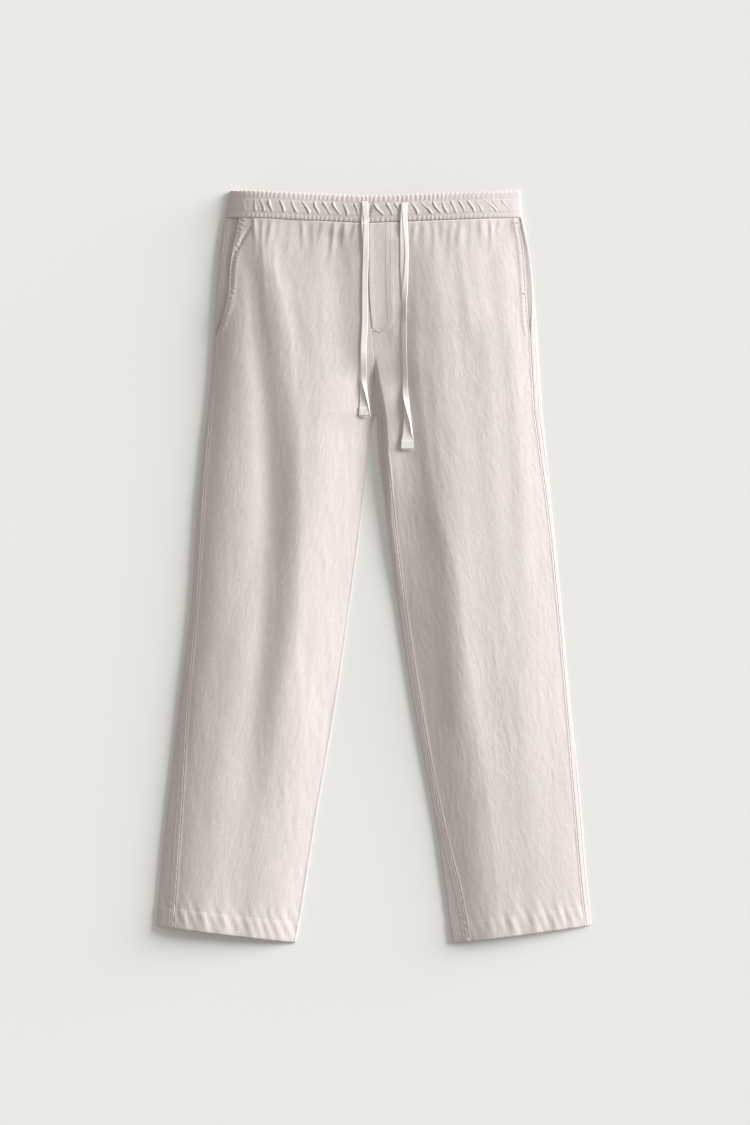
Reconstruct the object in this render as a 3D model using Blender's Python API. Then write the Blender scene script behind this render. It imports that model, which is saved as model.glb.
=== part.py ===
"""Relaxed fit trousers with an elasticated, drawstring waistband, laid flat on their back.

The frame is metres with +Z up. X runs across the garment, from the wearer's right leg (-X) to the left (+X),
Y runs from the hems (-Y) to the waist (+Y), and the back panels rest on Z = 0. The fronts lie on the backs.
Every panel is a cloth wall. Its outer face is worked out from a table of sections down each leg, and its
inner face lies one wall thickness inside that. Sizes in the tables are millimetres.
"""

from collections import namedtuple

import bpy
import numpy as np
from mathutils.bvhtree import BVHTree

MM = 0.001

# ---------------------------------------------------------------- driving sizes, in millimetres
WAIST_SEAM_Y = 482.6  # height of the waist seam at the side, from the middle of the garment's length
HEM_DROP = 978.0  # from the waist seam to the hem, down the side
BAND_DEPTH = 37.0  # the elasticated waistband, top to bottom
BAND_WALL = 2.2  # two layers of cloth with the elastic between them
BAND_PROUD = 0.7  # how far the band stands above the front panels
CLOTH = 1.2  # one layer of cloth
TURN_UP = 26.0  # depth of the hem's turn-up
TURN_UP_WALL = 1.8  # the leg's own cloth and the turn-up inside it
SEAM_GAP = 0.3  # between two pieces that are sewn together
FOLD_RADIUS = 2.9  # of the soft folds at the sides, from the back panels to the fronts
CROTCH_DROP = 269.0  # from the waist seam to the fork
NOTCH_START = 185.0  # where the centre front begins to dip towards the fork
FORK_START = 230.0  # where the dip is full, and the centre back begins to rise
FLY_WIDTH = 38.0
FLY_LENGTH = 157.0
FLY_CORNER = 30.0  # radius of the fly's lower corner
FLY_WALL = 1.0
POCKET_LENGTH = 163.0  # from the waist seam to the foot of the pocket mouth
POCKET_UNDERLAP = 9.0  # how far the pocket facing runs in under the front
POCKET_DEPTH = 0.8  # between the front and the facing under it
TAPE_WALL = 1.0
TAPE_LIFT = 0.4  # between the drawstring tape and the highest cloth under it
TAPE_CUP = 0.9  # how far the tape's folded edges stand above its middle

# ---------------------------------------------------------------- how finely the walls are divided
DROPS = (0, 10, 26, 48, 78, 108, 128, 142, 151, FLY_LENGTH, POCKET_LENGTH, 190, 214, 234, 252, CROTCH_DROP,
         284, 306, 342, 395, 465, 540, 615, 690, 765, 840, 905,
         HEM_DROP - TURN_UP - 2, HEM_DROP - TURN_UP, HEM_DROP)
FOLD_COLUMNS = 3  # in each quarter of a side fold
BACK_TOP_COLUMNS = 2  # from a side fold to the seam on the front
BACK_FLOOR_COLUMNS = 4
FRONT_EDGE_COLUMNS = (3.4, 1.2)  # millimetres from the front's inner edge
FLY_COLUMNS = 5
FACING_COLUMNS = 3
TAPE_RINGS = 26
TAPE_COLUMNS = 4
CURVE_STEPS = 9  # points on a quarter of a fold, before a section is divided into columns
CREASE_ANGLE = 24.0  # faces that meet at more than this many degrees look creased, and the rest smooth

# ---------------------------------------------------------------- the sections of each leg
# drop: below the waist seam, at the side
# side: centre line to the outline at the side     inner: centre line to the centre front or the inside leg
# outseam: outline to the side seam, over the top  inseam: outline to the inside leg seam, over the top
# sag: how much lower the section lies at its inner end
# loft: height of the front's middle above the floor
# roll, inner_roll: how far in from the outline the front swells up to that height
Section = namedtuple("Section", "drop side outseam inner inseam sag loft roll inner_roll")

RIGHT_LEG = (
    Section(-37, 199.4, 3.0, 8.3, 0, 8.3, 6.1, 15, 20),
    Section(0, 206.3, 3.5, 8.3, 0, 9.2, 6.2, 15, 20),
    Section(46, 213.5, 6.0, 8.3, 0, 7.0, 6.3, 30, 20),
    Section(115, 218.7, 6.0, 7.0, 0, 5.5, 6.3, 42, 20),
    Section(163, 221.5, 3.0, 2.5, 0, 4.0, 6.3, 48, 18),
    Section(208, 224.3, 3.0, 0.0, 0, 2.8, 6.3, 50, 17),
    Section(269, 229.8, 3.5, -2.8, 0.3, 0.0, 6.3, 50, 18),
    Section(281, 231.2, 4.0, 3.4, 0.3, 0.3, 6.3, 50, 19),
    Section(322, 236.0, 5.5, 7.6, 0.3, 1.4, 6.3, 50, 26),
    Section(391, 242.9, 6.9, 15.9, 0.3, 4.1, 6.3, 50, 38),
    Section(529, 252.5, 8.2, 34.5, 0.3, 8.3, 6.3, 48, 44),
    Section(667, 268.4, 11.7, 55.2, 0.3, 13.8, 6.3, 46, 44),
    Section(805, 284.3, 19.3, 80.0, 0.3, 19.3, 6.3, 44, 42),
    Section(943, 298.0, 23.4, 102.8, 0.3, 23.5, 6.2, 40, 40),
    Section(978, 300.8, 24.1, 109.0, 0.3, 24.3, 6.2, 38, 38),
)
LEFT_LEG = (
    Section(-37, 201.5, 2.0, -8.3, 0, 8.3, 6.1, 15, 20),
    Section(0, 204.2, 2.0, -8.3, 0, 9.2, 6.2, 15, 20),
    Section(46, 213.5, 2.0, -8.3, 0, 7.0, 6.3, 30, 20),
    Section(115, 220.8, 4.0, -7.0, 0, 5.5, 6.3, 42, 20),
    Section(163, 225.0, 9.7, -2.5, 0, 4.0, 6.3, 48, 18),
    Section(208, 227.7, 10.3, 0.0, 0, 2.8, 6.3, 50, 17),
    Section(269, 231.8, 11.0, 2.8, 0, 0.0, 6.3, 50, 18),
    Section(281, 233.0, 10.5, 3.2, 5, 0.3, 6.3, 50, 19),
    Section(322, 236.7, 8.3, 5.5, 12, 1.4, 6.3, 50, 26),
    Section(391, 243.6, 5.6, 14.8, 10.7, 4.1, 6.3, 50, 38),
    Section(529, 257.4, 4.9, 33.0, 9.8, 8.3, 6.3, 48, 44),
    Section(667, 269.8, 4.8, 56.6, 8.3, 13.8, 6.3, 46, 44),
    Section(805, 284.3, 8.3, 83.5, 9.0, 19.3, 6.3, 44, 42),
    Section(943, 296.0, 7.6, 104.0, 21.6, 23.5, 6.2, 40, 40),
    Section(978, 300.2, 7.6, 109.0, 22.0, 24.3, 6.2, 38, 38),
)

# The pocket mouth: how far in from the outline the front's slanted edge runs, at drops below the waist seam.
Mouth = namedtuple("Mouth", "drop right left")
POCKET_MOUTH = (
    Mouth(0, 20.0, 5.0),
    Mouth(25, 19.3, 6.5),
    Mouth(60, 16.8, 8.5),
    Mouth(115, 15.5, 10.5),
    Mouth(142, 9.5, 11.0),
    Mouth(POCKET_LENGTH, 3.4, 10.1),
)

# Long soft folds down the fronts: a ridge where rise is over 0 and a trough where it is under. Each runs
# through its top, middle and foot, (x, y) from the middle of the garment, and fades out towards both ends.
Fold = namedtuple("Fold", "top middle foot width rise")
FOLDS = (
    Fold((-174, 470), (-158, 200), (-178, -330), 15, -1.9),
    Fold((-152, 470), (-118, 110), (-140, -300), 19, 1.7),
    Fold((-104, 465), (-82, 230), (-78, -150), 22, 0.9),
    Fold((-55, 470), (-50, 370), (-42, 250), 18, -1.3),
    Fold((46, 470), (60, 210), (90, -330), 18, -1.5),
    Fold((78, 470), (110, 160), (118, -330), 21, 1.7),
    Fold((112, 480), (122, 400), (136, 300), 8, 0.9),
    Fold((150, 470), (176, 230), (196, -190), 14, -0.9),
    Fold((178, 440), (196, 260), (214, -60), 13, 0.8),
)

# The gathers that the elastic draws into each front, from the side to the centre: how far in from the outline
# each meets the waist seam, how far down it runs, and how far it stands out. Each has a column of its own.
Gather = namedtuple("Gather", "across length rise")
RIGHT_GATHERS = (
    Gather(28, 30, 0.7), Gather(40, 46, 1.0), Gather(52, 72, 1.2), Gather(65, 60, 1.0),
    Gather(78, 40, 0.8), Gather(91, 88, 1.2), Gather(106, 52, 0.9), Gather(121, 66, 1.0),
    Gather(135, 44, 0.8), Gather(150, 78, 1.1), Gather(165, 50, 0.8), Gather(181, 36, 0.7),
)
LEFT_GATHERS = (
    Gather(14, 28, 0.6), Gather(30, 36, 0.7), Gather(45, 58, 0.9), Gather(58, 44, 0.8),
    Gather(72, 84, 1.2), Gather(86, 56, 1.0), Gather(100, 92, 1.3), Gather(112, 42, 0.8),
    Gather(124, 70, 1.1), Gather(136, 46, 0.8), Gather(148, 58, 1.0), Gather(161, 40, 0.8),
    Gather(180, 24, 0.3), Gather(198, 24, 0.3),
)

# The hems' ripples, where the turn-up draws the cloth: x at the hem, and how far each stands out.
Ripple = namedtuple("Ripple", "x rise")
RIPPLES = (
    Ripple(-262, 0.7), Ripple(-236, 1.0), Ripple(-208, 1.1), Ripple(-168, 0.8), Ripple(-128, 1.0),
    Ripple(128, 0.7), Ripple(160, 0.6), Ripple(192, 1.0), Ripple(222, 1.1), Ripple(252, 0.9),
    Ripple(275, 1.0),
)
RIPPLE_WIDTH = 8.0
RIPPLE_LENGTH = 60.0

# The slanted creases across the waistband's front: x at the band's top, and how far each stands out.
Crease = namedtuple("Crease", "x rise")
CREASES = (
    Crease(-184, 0.6), Crease(-169, 1.1), Crease(-158, 1.1), Crease(-147, 1.1), Crease(-132, 1.0),
    Crease(-118, 0.9), Crease(-101, 1.1), Crease(-87, 1.0), Crease(-73, 1.1), Crease(-60, 1.1),
    Crease(-45, 0.9), Crease(-31, 0.8), Crease(-17, 0.3), Crease(-4, 1.0), Crease(12, 1.0), Crease(24, 0.7),
    Crease(37, 0.3), Crease(49, 1.0), Crease(61, 1.1), Crease(77, 1.0), Crease(89, 0.9), Crease(101, 1.1),
    Crease(112, 0.9), Crease(125, 1.1), Crease(137, 0.7), Crease(149, 0.9),
    Crease(161, 0.6), Crease(172, 0.7),
)
CREASE_SLANT = 9.0  # how far a crease runs towards the wearer's left on its way down
BAND_END = 12.0  # from the outline to the last column of the band's front
BAND_SHARES = (0.0, 0.18, 0.32, 0.5, 0.68, 0.82, 1.0)  # rows of the wall down the band
CREASE_STRENGTH = (0.0, 0.1, 0.8, 1.0, 0.8, 0.1, 0.0)  # of a crease, at each of those rows
BAND_BACK_COLUMNS = 9
BAND_FOLD = (1.4, 0.6, 0.15)  # columns on the upper quarter of its side folds, in fold radii from the outline

# The two ends of the drawstring tape, each from its buttonhole: where it lies, how wide it shows, and how far
# it is turned on edge, in degrees.
TapePoint = namedtuple("TapePoint", "x y width turn")
RIGHT_TAPE = (
    TapePoint(-13.5, 503, 8.0, 0),
    TapePoint(-13.4, 488, 9.0, 6),
    TapePoint(-13.4, 466, 9.0, 10),
    TapePoint(-12.2, 428, 8.0, 6),
    TapePoint(-13.5, 372, 9.0, -6),
    TapePoint(-13.4, 330, 9.0, 4),
    TapePoint(-15.5, 286, 8.6, 6),
    TapePoint(-15.2, 244, 9.2, 4),
    TapePoint(-13.8, 209, 15.0, 0),
)
LEFT_TAPE = (
    TapePoint(41.0, 502, 8.0, 0),
    TapePoint(40.2, 487, 9.2, -6),
    TapePoint(40.2, 464, 10.4, -10),
    TapePoint(40.8, 424, 11.2, -6),
    TapePoint(42.0, 366, 7.6, 4),
    TapePoint(42.2, 312, 7.0, -6),
    TapePoint(43.4, 258, 7.2, -6),
    TapePoint(45.2, 206, 9.6, 2),
    TapePoint(45.2, 163, 18.0, 0),
)

OATMEAL = (0.78, 0.71, 0.66)
OFF_WHITE = (0.83, 0.80, 0.75)


# ---------------------------------------------------------------- curves and smooth steps
def curve_through(knots, values):
    """A smooth curve through the values at the knots, as a function."""
    knots = np.asarray(knots, float)
    values = np.asarray(values, float)
    slopes = np.gradient(values, knots)

    def at(place):
        i = np.clip(np.searchsorted(knots, place) - 1, 0, len(knots) - 2)
        step = knots[i + 1] - knots[i]
        t = np.clip((place - knots[i]) / step, 0.0, 1.0)
        start = (1 + 2 * t) * (1 - t) ** 2 * values[i] + t * (1 - t) ** 2 * step * slopes[i]
        end = t**2 * (3 - 2 * t) * values[i + 1] + t**2 * (t - 1) * step * slopes[i + 1]
        return start + end

    return at


def curve_with_corner(knots, values, corner):
    """Two smooth curves that meet in a corner at one of the knots."""
    split = list(knots).index(corner)
    above = curve_through(knots[: split + 1], values[: split + 1])
    below = curve_through(knots[split:], values[split:])
    return lambda place: above(place) if place <= corner else below(place)


def smooth_step(low, high, value):
    t = np.clip((value - low) / (high - low), 0.0, 1.0)
    return t * t * (3 - 2 * t)


def rounded(distance, reach):
    """0 at the outline and 1 from reach inwards, along a quarter of an ellipse."""
    t = np.clip(distance / reach, 0.0, 1.0)
    return np.sqrt(1 - (1 - t) ** 2)


def swelled(distance, reach):
    """0 at the outline and 1 from reach inwards, along a shallow curve."""
    t = np.clip(distance / reach, 0.0, 1.0)
    return 1 - (1 - t) ** 2


# ---------------------------------------------------------------- the long folds and the hems' ripples
def fold_line(fold):
    """The fold's x as a smooth function of y, through its three points."""
    ys = [fold.foot[1], fold.middle[1], fold.top[1]]
    xs = [fold.foot[0], fold.middle[0], fold.top[0]]
    return curve_through(ys, xs)


FOLD_LINES = [(fold, fold_line(fold)) for fold in FOLDS]


def relief(x, y):
    """How far the folds and ripples raise the front there."""
    rise = 0.0
    for fold, line in FOLD_LINES:
        low, high = fold.foot[1], fold.top[1]
        fade = (high - low) / 4
        strength = smooth_step(low, low + fade, y) * smooth_step(high, high - fade / 3, y)
        rise += fold.rise * strength * np.exp(-(((x - line(y)) / fold.width) ** 2))
    hem_y = WAIST_SEAM_Y - HEM_DROP
    strength = smooth_step(hem_y + RIPPLE_LENGTH, hem_y, y)
    for ripple in RIPPLES:
        rise += ripple.rise * strength * np.exp(-(((x - ripple.x) / RIPPLE_WIDTH) ** 2))
    return rise


class Leg:
    """Half the garment, as smooth curves of the drop below the waist seam, with a corner at the fork."""

    def __init__(self, sections, hand, gathers):
        self.hand = hand
        self.gathers = gathers
        drops = [s.drop for s in sections]
        for column in Section._fields[1:]:
            values = [getattr(s, column) for s in sections]
            setattr(self, column, curve_with_corner(drops, values, CROTCH_DROP))
        mouths = [m.right if hand < 0 else m.left for m in POCKET_MOUTH]
        self.pocket_mouth = curve_through([m.drop for m in POCKET_MOUTH], mouths)

    def width(self, drop):
        return self.side(drop) - self.inner(drop) - SEAM_GAP / 2

    def point(self, drop, across, height):
        """The point of the section at that drop, across millimetres in from the outline, as x, y and z."""
        y = WAIST_SEAM_Y - drop - self.sag(drop) * across / self.width(drop)
        return np.array([self.hand * (self.side(drop) - across), y, height])

    def height(self, drop, across):
        """Height of the front's outer face there, folds and all."""
        notch = smooth_step(NOTCH_START, FORK_START, drop)
        from_inside = np.maximum(self.width(drop) - across, 0)
        inner_fold = 1 - notch * (1 - rounded(from_inside, FOLD_RADIUS))
        inner_swell = 1 - notch * (1 - swelled(from_inside, self.inner_roll(drop)))
        fold = rounded(across, FOLD_RADIUS) * inner_fold
        swell = swelled(across, self.roll(drop)) * inner_swell
        level = FOLD_RADIUS * (1 + fold) + (self.loft(drop) - 2 * FOLD_RADIUS) * swell
        if drop <= 0:
            return level
        x, y, _ = self.point(drop, across, 0)
        return level + relief(x, y) * swell * smooth_step(0, 20, drop)

    def top(self, drop, across):
        return self.point(drop, across, self.height(drop, across))

    def normal(self, drop, across):
        """The outward direction of the front's outer face there."""
        low, high = max(across - 0.2, 0), min(across + 0.2, self.width(drop))
        along = self.top(drop, high) - self.top(drop, low)
        down = self.top(drop + 2, across) - self.top(drop - 2, across)
        normal = np.cross(along, down)
        return normal / np.linalg.norm(normal) * np.sign(normal[2])

    def front_start(self, drop):
        """How far in from the outline the front begins: at the pocket mouth, then at the side seam."""
        if drop < POCKET_LENGTH:
            return max(self.pocket_mouth(drop), self.outseam(drop) + SEAM_GAP)
        return self.outseam(drop)


RIGHT = Leg(RIGHT_LEG, -1, RIGHT_GATHERS)
LEFT = Leg(LEFT_LEG, 1, LEFT_GATHERS)


# ---------------------------------------------------------------- the outline of a section, cut at its seams
def lengths_along(points):
    return np.concatenate([[0], np.cumsum(np.linalg.norm(np.diff(points, axis=0), axis=1))])


def over_the_top(leg, drop):
    """Outer-face points from the outline at the side to the front's inner edge, and how far in each is."""
    width = leg.width(drop)
    fold = FOLD_RADIUS * (1 - np.cos(np.linspace(0, np.pi / 2, CURVE_STEPS)))
    flat = np.linspace(FOLD_RADIUS, width - FOLD_RADIUS, 5 * CURVE_STEPS)[1:-1]
    acrosses = np.concatenate([fold, flat, width - fold[::-1]])
    return np.array([leg.top(drop, a) for a in acrosses]), acrosses


def under_edge(leg, drop, inner):
    """The lower quarter of a side fold, from its widest line down to the floor."""
    lift = FOLD_RADIUS
    if inner and drop <= CROTCH_DROP:
        lift = (FOLD_RADIUS - 2 * SEAM_GAP) * smooth_step(FORK_START, CROTCH_DROP, drop)
    turn = np.linspace(0, np.pi / 2, CURVE_STEPS)
    in_from_edge = FOLD_RADIUS * (1 - np.cos(turn))
    acrosses = leg.width(drop) - in_from_edge if inner else in_from_edge
    return np.array([leg.point(drop, a, lift * (1 - np.sin(t))) for a, t in zip(acrosses, turn)])


def points_at(points, distances):
    lengths = lengths_along(points)
    return np.stack([np.interp(distances, lengths, points[:, k]) for k in range(3)], axis=-1)


def seam_distances(leg, drop):
    """Along the top from the outline: the side seam, the front's start, the inside leg seam or the end."""
    points, acrosses = over_the_top(leg, drop)
    lengths = lengths_along(points)
    inseam = leg.width(drop) - (leg.inseam(drop) if drop > CROTCH_DROP else 0)
    seams = np.interp([leg.outseam(drop), leg.front_start(drop), inseam], acrosses, lengths)
    return points, seams, lengths[-1]


def column_shares(leg):
    """Places of the front's columns, as shares of its width: one on each gather and one between each two."""
    start, width = leg.front_start(0), leg.width(0)
    crests = [(g.across - start) / (width - start) for g in leg.gathers]
    edges = [0.0] + crests + [1.0]
    between = [(a + b) / 2 for a, b in zip(edges, edges[1:])]
    inner = [1 - column / (width - start) for column in FRONT_EDGE_COLUMNS]
    return np.array(sorted(edges + between + inner))


def front_rows(leg):
    """The front's outer face as a grid of points, its gathers raised column by column."""
    shares = column_shares(leg)
    rise, reach = np.zeros(len(shares)), np.ones(len(shares))
    on_gathers = slice(2, 2 * len(leg.gathers) + 1, 2)
    rise[on_gathers] = [gather.rise for gather in leg.gathers]
    reach[on_gathers] = [gather.length for gather in leg.gathers]
    rows = []
    for drop in DROPS:
        drop = max(drop, SEAM_GAP)
        points, (_, start, end), _ = seam_distances(leg, drop)
        first = start + (SEAM_GAP / 2 if drop >= POCKET_LENGTH else 0)
        last = end - (SEAM_GAP / 2 if drop > CROTCH_DROP else 0)
        row = points_at(points, first + (last - first) * shares)
        row[:, 2] += rise * (1 - smooth_step(0.2, 1.0, drop / reach))
        rows.append(row)
    return np.array(rows)


def front_normals(leg, grid):
    """Outward directions on the front, kept from leaning over the centre front or past the waist seam."""
    normals = np.empty_like(grid)
    for r, drop in enumerate(DROPS):
        for c, point in enumerate(grid[r]):
            across = leg.side(drop) - leg.hand * point[0]
            normals[r, c] = leg.normal(max(drop, SEAM_GAP), np.clip(across, 0, leg.width(drop)))
    normals[:, -1, 0] = -leg.hand * np.maximum(-leg.hand * normals[:, -1, 0], 0)
    normals[0, :, 1] = np.maximum(normals[0, :, 1], 0)
    return normals / np.linalg.norm(normals, axis=2, keepdims=True)


def fold_columns(over, under):
    """A side fold's points, from the seam on the front down to the floor, closest where the fold is tight."""
    run = np.concatenate([over[:-1], under])
    seam_to_edge, seam_to_floor = lengths_along(over)[-1], lengths_along(run)[-1]
    quarter = FOLD_RADIUS * np.pi / 2
    if seam_to_edge < 2 * quarter:
        return points_at(run, np.linspace(0, seam_to_floor, BACK_TOP_COLUMNS + 2 * FOLD_COLUMNS + 1))
    return points_at(run, np.concatenate([
        np.linspace(0, seam_to_edge - quarter, BACK_TOP_COLUMNS + 1),
        np.linspace(seam_to_edge - quarter, seam_to_floor, 2 * FOLD_COLUMNS + 1)[1:],
    ]))


def back_rows(leg):
    """The back's outer face: from the side seam round the fold, along the floor, and up to the inner seam."""
    rows = []
    for drop in DROPS:
        drop = max(drop, SEAM_GAP)
        top, (outseam, _, inseam), length = seam_distances(leg, drop)
        over = points_at(top, np.linspace(outseam - SEAM_GAP / 2, 0, 4 * CURVE_STEPS))
        side = fold_columns(over, under_edge(leg, drop, False))
        inner = under_edge(leg, drop, True)
        if drop > CROTCH_DROP:
            over = points_at(top, np.linspace(inseam + SEAM_GAP / 2, length, 4 * CURVE_STEPS))
            inner = fold_columns(over, inner)
        else:
            inner = points_at(inner, np.linspace(0, lengths_along(inner)[-1], len(side)))
        floor = np.linspace(side[-1], inner[-1], BACK_FLOOR_COLUMNS + 1)[1:-1]
        rows.append(np.concatenate([side, floor, inner[::-1]]))
    return np.array(rows)


def grid_normals(grid, outwards):
    """A unit normal at each point of a grid of rows, on the side of outwards at the grid's middle."""
    normals = np.cross(np.gradient(grid, axis=0), np.gradient(grid, axis=1))
    normals /= np.maximum(np.linalg.norm(normals, axis=2, keepdims=True), 1e-9)
    middle = normals[normals.shape[0] // 2, normals.shape[1] // 2]
    return normals if middle @ np.asarray(outwards, float) > 0 else -normals


def back_normals(leg, grid):
    """Outward directions on the back: straight down on the floor, and as on the front at the seams."""
    normals = grid_normals(grid, (0, 0, -1))
    fold_end = BACK_TOP_COLUMNS + 2 * FOLD_COLUMNS + 1
    normals[:, fold_end:-fold_end] = (0, 0, -1)
    for r, drop in enumerate(DROPS):
        row_drop = max(drop, SEAM_GAP)
        normals[r, 0] = leg.normal(row_drop, leg.side(drop) - leg.hand * grid[r, 0, 0])
        if drop > CROTCH_DROP:
            normals[r, -1] = leg.normal(row_drop, leg.side(drop) - leg.hand * grid[r, -1, 0])
        else:
            normals[r, -1] = (-leg.hand, 0, 0) if drop > FORK_START else (0, 0, -1)
    normals[0, :, 1] = 0
    return normals / np.linalg.norm(normals, axis=2, keepdims=True)


# ---------------------------------------------------------------- walls from grids of points
def cloth_material(name, colour):
    material = bpy.data.materials.new(name)
    material.use_nodes = True
    shader = material.node_tree.nodes["Principled BSDF"]
    shader.inputs["Base Color"].default_value = (*colour, 1.0)
    shader.inputs["Roughness"].default_value = 0.9
    shader.inputs["Metallic"].default_value = 0.0
    return material


def wall(name, outer, inner, colour, ring=False):
    """A closed wall between two grids of points in millimetres, closed round as a ring if asked."""
    rows, columns = outer.shape[:2]
    outer_id = np.arange(rows * columns).reshape(rows, columns)
    inner_id = outer_id + rows * columns
    spans = [(c, (c + 1) % columns) for c in range(columns if ring else columns - 1)]
    faces = []
    for r in range(rows - 1):
        for a, b in spans:
            faces.append((outer_id[r, a], outer_id[r, b], outer_id[r + 1, b], outer_id[r + 1, a]))
            faces.append((inner_id[r, a], inner_id[r + 1, a], inner_id[r + 1, b], inner_id[r, b]))
    for a, b in spans:
        faces.append((outer_id[0, b], outer_id[0, a], inner_id[0, a], inner_id[0, b]))
        faces.append((outer_id[-1, a], outer_id[-1, b], inner_id[-1, b], inner_id[-1, a]))
    if not ring:
        for r in range(rows - 1):
            faces.append((outer_id[r, 0], outer_id[r + 1, 0], inner_id[r + 1, 0], inner_id[r, 0]))
            faces.append((outer_id[r + 1, -1], outer_id[r, -1], inner_id[r, -1], inner_id[r + 1, -1]))
    points = np.concatenate([outer.reshape(-1, 3), inner.reshape(-1, 3)]) * MM
    mesh = bpy.data.meshes.new(name)
    mesh.from_pydata(points.tolist(), [], [tuple(int(i) for i in face) for face in faces])
    first = points[[face[0] for face in faces]]
    spans_out = np.cross(points[[f[1] for f in faces]] - first, points[[f[2] for f in faces]] - first)
    if np.einsum("ij,ij->", first, spans_out) < 0:
        mesh.flip_normals()
    mesh.shade_smooth()
    mesh.set_sharp_from_angle(angle=np.radians(CREASE_ANGLE))
    made = bpy.data.objects.new(name, mesh)
    bpy.context.scene.collection.objects.link(made)
    mesh.materials.append(cloth_material(f"{name}_cloth", colour))


def wall_depths():
    """One layer of cloth, doubled inside by the hem's turn-up, for each row of a panel."""
    return np.array([TURN_UP_WALL if drop >= HEM_DROP - TURN_UP else CLOTH for drop in DROPS])[:, None, None]


def make_front(name, leg):
    outer = front_rows(leg)
    wall(name, outer, outer - front_normals(leg, outer) * wall_depths(), OATMEAL)
    return outer


def make_back(name, leg):
    outer = back_rows(leg)
    wall(name, outer, outer - back_normals(leg, outer) * wall_depths(), OATMEAL)


# ---------------------------------------------------------------- the waistband
def band_marks():
    """x of the wall's columns across the band's front, at its top, and how far a crease raises each."""
    ends = (-RIGHT.side(-BAND_DEPTH) + BAND_END, LEFT.side(-BAND_DEPTH) - BAND_END)
    marks = [Crease(ends[0], 0.0)] + list(CREASES) + [Crease(ends[1], 0.0)]
    columns = []
    for a, b in zip(marks, marks[1:]):
        columns += [a, Crease((a.x + b.x) / 2, 0.0)]
    return columns + [marks[-1]]


def band_section(share, strength):
    """The waistband's outer face at one height: its front from the wearer's right to left, then its back."""
    drop = -BAND_DEPTH * (1 - share)
    slant = CREASE_SLANT * smooth_step(0.1, 0.9, share)
    front = []
    for mark in band_marks():
        leg = RIGHT if mark.x < 0 else LEFT
        top = leg.side(-BAND_DEPTH)
        place = mark.x * leg.side(drop) / top + slant * (1 - smooth_step(0.8, 0.96, abs(mark.x) / top))
        leg = RIGHT if place < -RIGHT.inner(drop) else LEFT
        across = leg.side(drop) - leg.hand * place
        proud = BAND_PROUD * rounded(across, leg.roll(drop)) + mark.rise * strength
        front.append(leg.point(drop, across, leg.height(drop, across) + proud))
    left = [LEFT.top(drop, FOLD_RADIUS * a) for a in BAND_FOLD]
    left += list(under_edge(LEFT, drop, False)[::2])
    right = list(under_edge(RIGHT, drop, False)[::-2])
    right += [RIGHT.top(drop, FOLD_RADIUS * a) for a in BAND_FOLD[::-1]]
    back = []
    for x in np.linspace(left[-1][0], right[0][0], BAND_BACK_COLUMNS + 2)[1:-1]:
        leg = RIGHT if x < -RIGHT.inner(drop) else LEFT
        back.append(leg.point(drop, leg.side(drop) - leg.hand * x, 0.0))
    return np.array(front + left + back + right)


def make_band():
    outer = np.array([band_section(*row) for row in zip(BAND_SHARES, CREASE_STRENGTH)])
    smooth = np.array([band_section(share, 0.0) for share in BAND_SHARES])
    around = np.roll(smooth, -1, axis=1) - np.roll(smooth, 1, axis=1)
    normals = np.cross(around, np.array([0.0, 1.0, 0.0]))
    normals /= np.linalg.norm(normals, axis=2, keepdims=True)
    normals *= np.sign(normals[0, len(CREASES), 2])
    wall("waistband", outer, smooth - normals * BAND_WALL, OATMEAL, ring=True)


# ---------------------------------------------------------------- what lies on the panels
def fly_reach(drop):
    """How far the fly reaches from the centre front: its lower corner is an arc."""
    above_foot = FLY_LENGTH - drop
    if above_foot >= FLY_CORNER:
        return FLY_WIDTH
    return FLY_WIDTH - FLY_CORNER + np.sqrt(FLY_CORNER**2 - (FLY_CORNER - above_foot) ** 2)


def make_fly(front):
    """The fly lies on the wearer's left front, from the centre front to its curved line of stitching."""
    rows = []
    for row, drop in zip(front, DROPS):
        if drop <= FLY_LENGTH:
            from_centre = np.linspace(0, fly_reach(drop), FLY_COLUMNS + 1)
            rows.append(points_at(row[::-1], from_centre))
    base = np.array(rows)
    outwards = grid_normals(base, (0, 0, 1))
    outwards[0, :, 1] = 0
    wall("fly", base + outwards * (SEAM_GAP + FLY_WALL), base + outwards * SEAM_GAP, OATMEAL)


def make_pocket_facing(name, leg):
    """The cloth seen through the pocket mouth, from the side seam to just under the front."""
    outer, inner = [], []
    for drop in [d for d in DROPS if d < POCKET_LENGTH]:
        drop = max(drop, SEAM_GAP)
        points, (outseam, mouth, _), _ = seam_distances(leg, drop)
        shown = np.linspace(outseam + SEAM_GAP / 2, mouth, FACING_COLUMNS + 1)
        places = np.append(shown, mouth + POCKET_UNDERLAP)
        sunk = smooth_step(places[0], mouth, places) * (CLOTH + POCKET_DEPTH)
        for place, point, down in zip(places, points_at(points, places), sunk):
            normal = leg.normal(drop, leg.side(drop) - leg.hand * point[0])
            if drop == SEAM_GAP:
                normal[1] = 0
            outer.append(point - normal * down)
            inner.append(point - normal * (down + CLOTH))
    shape = (-1, FACING_COLUMNS + 2, 3)
    wall(name, np.array(outer).reshape(shape), np.array(inner).reshape(shape), OATMEAL)


def cloth_so_far():
    """Every piece made so far, to find the highest cloth under a point."""
    points, faces = [], []
    for made in bpy.data.objects:
        faces += [[len(points) + v for v in polygon.vertices] for polygon in made.data.polygons]
        points += [vertex.co / MM for vertex in made.data.vertices]
    return BVHTree.FromPolygons(points, faces)


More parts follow.
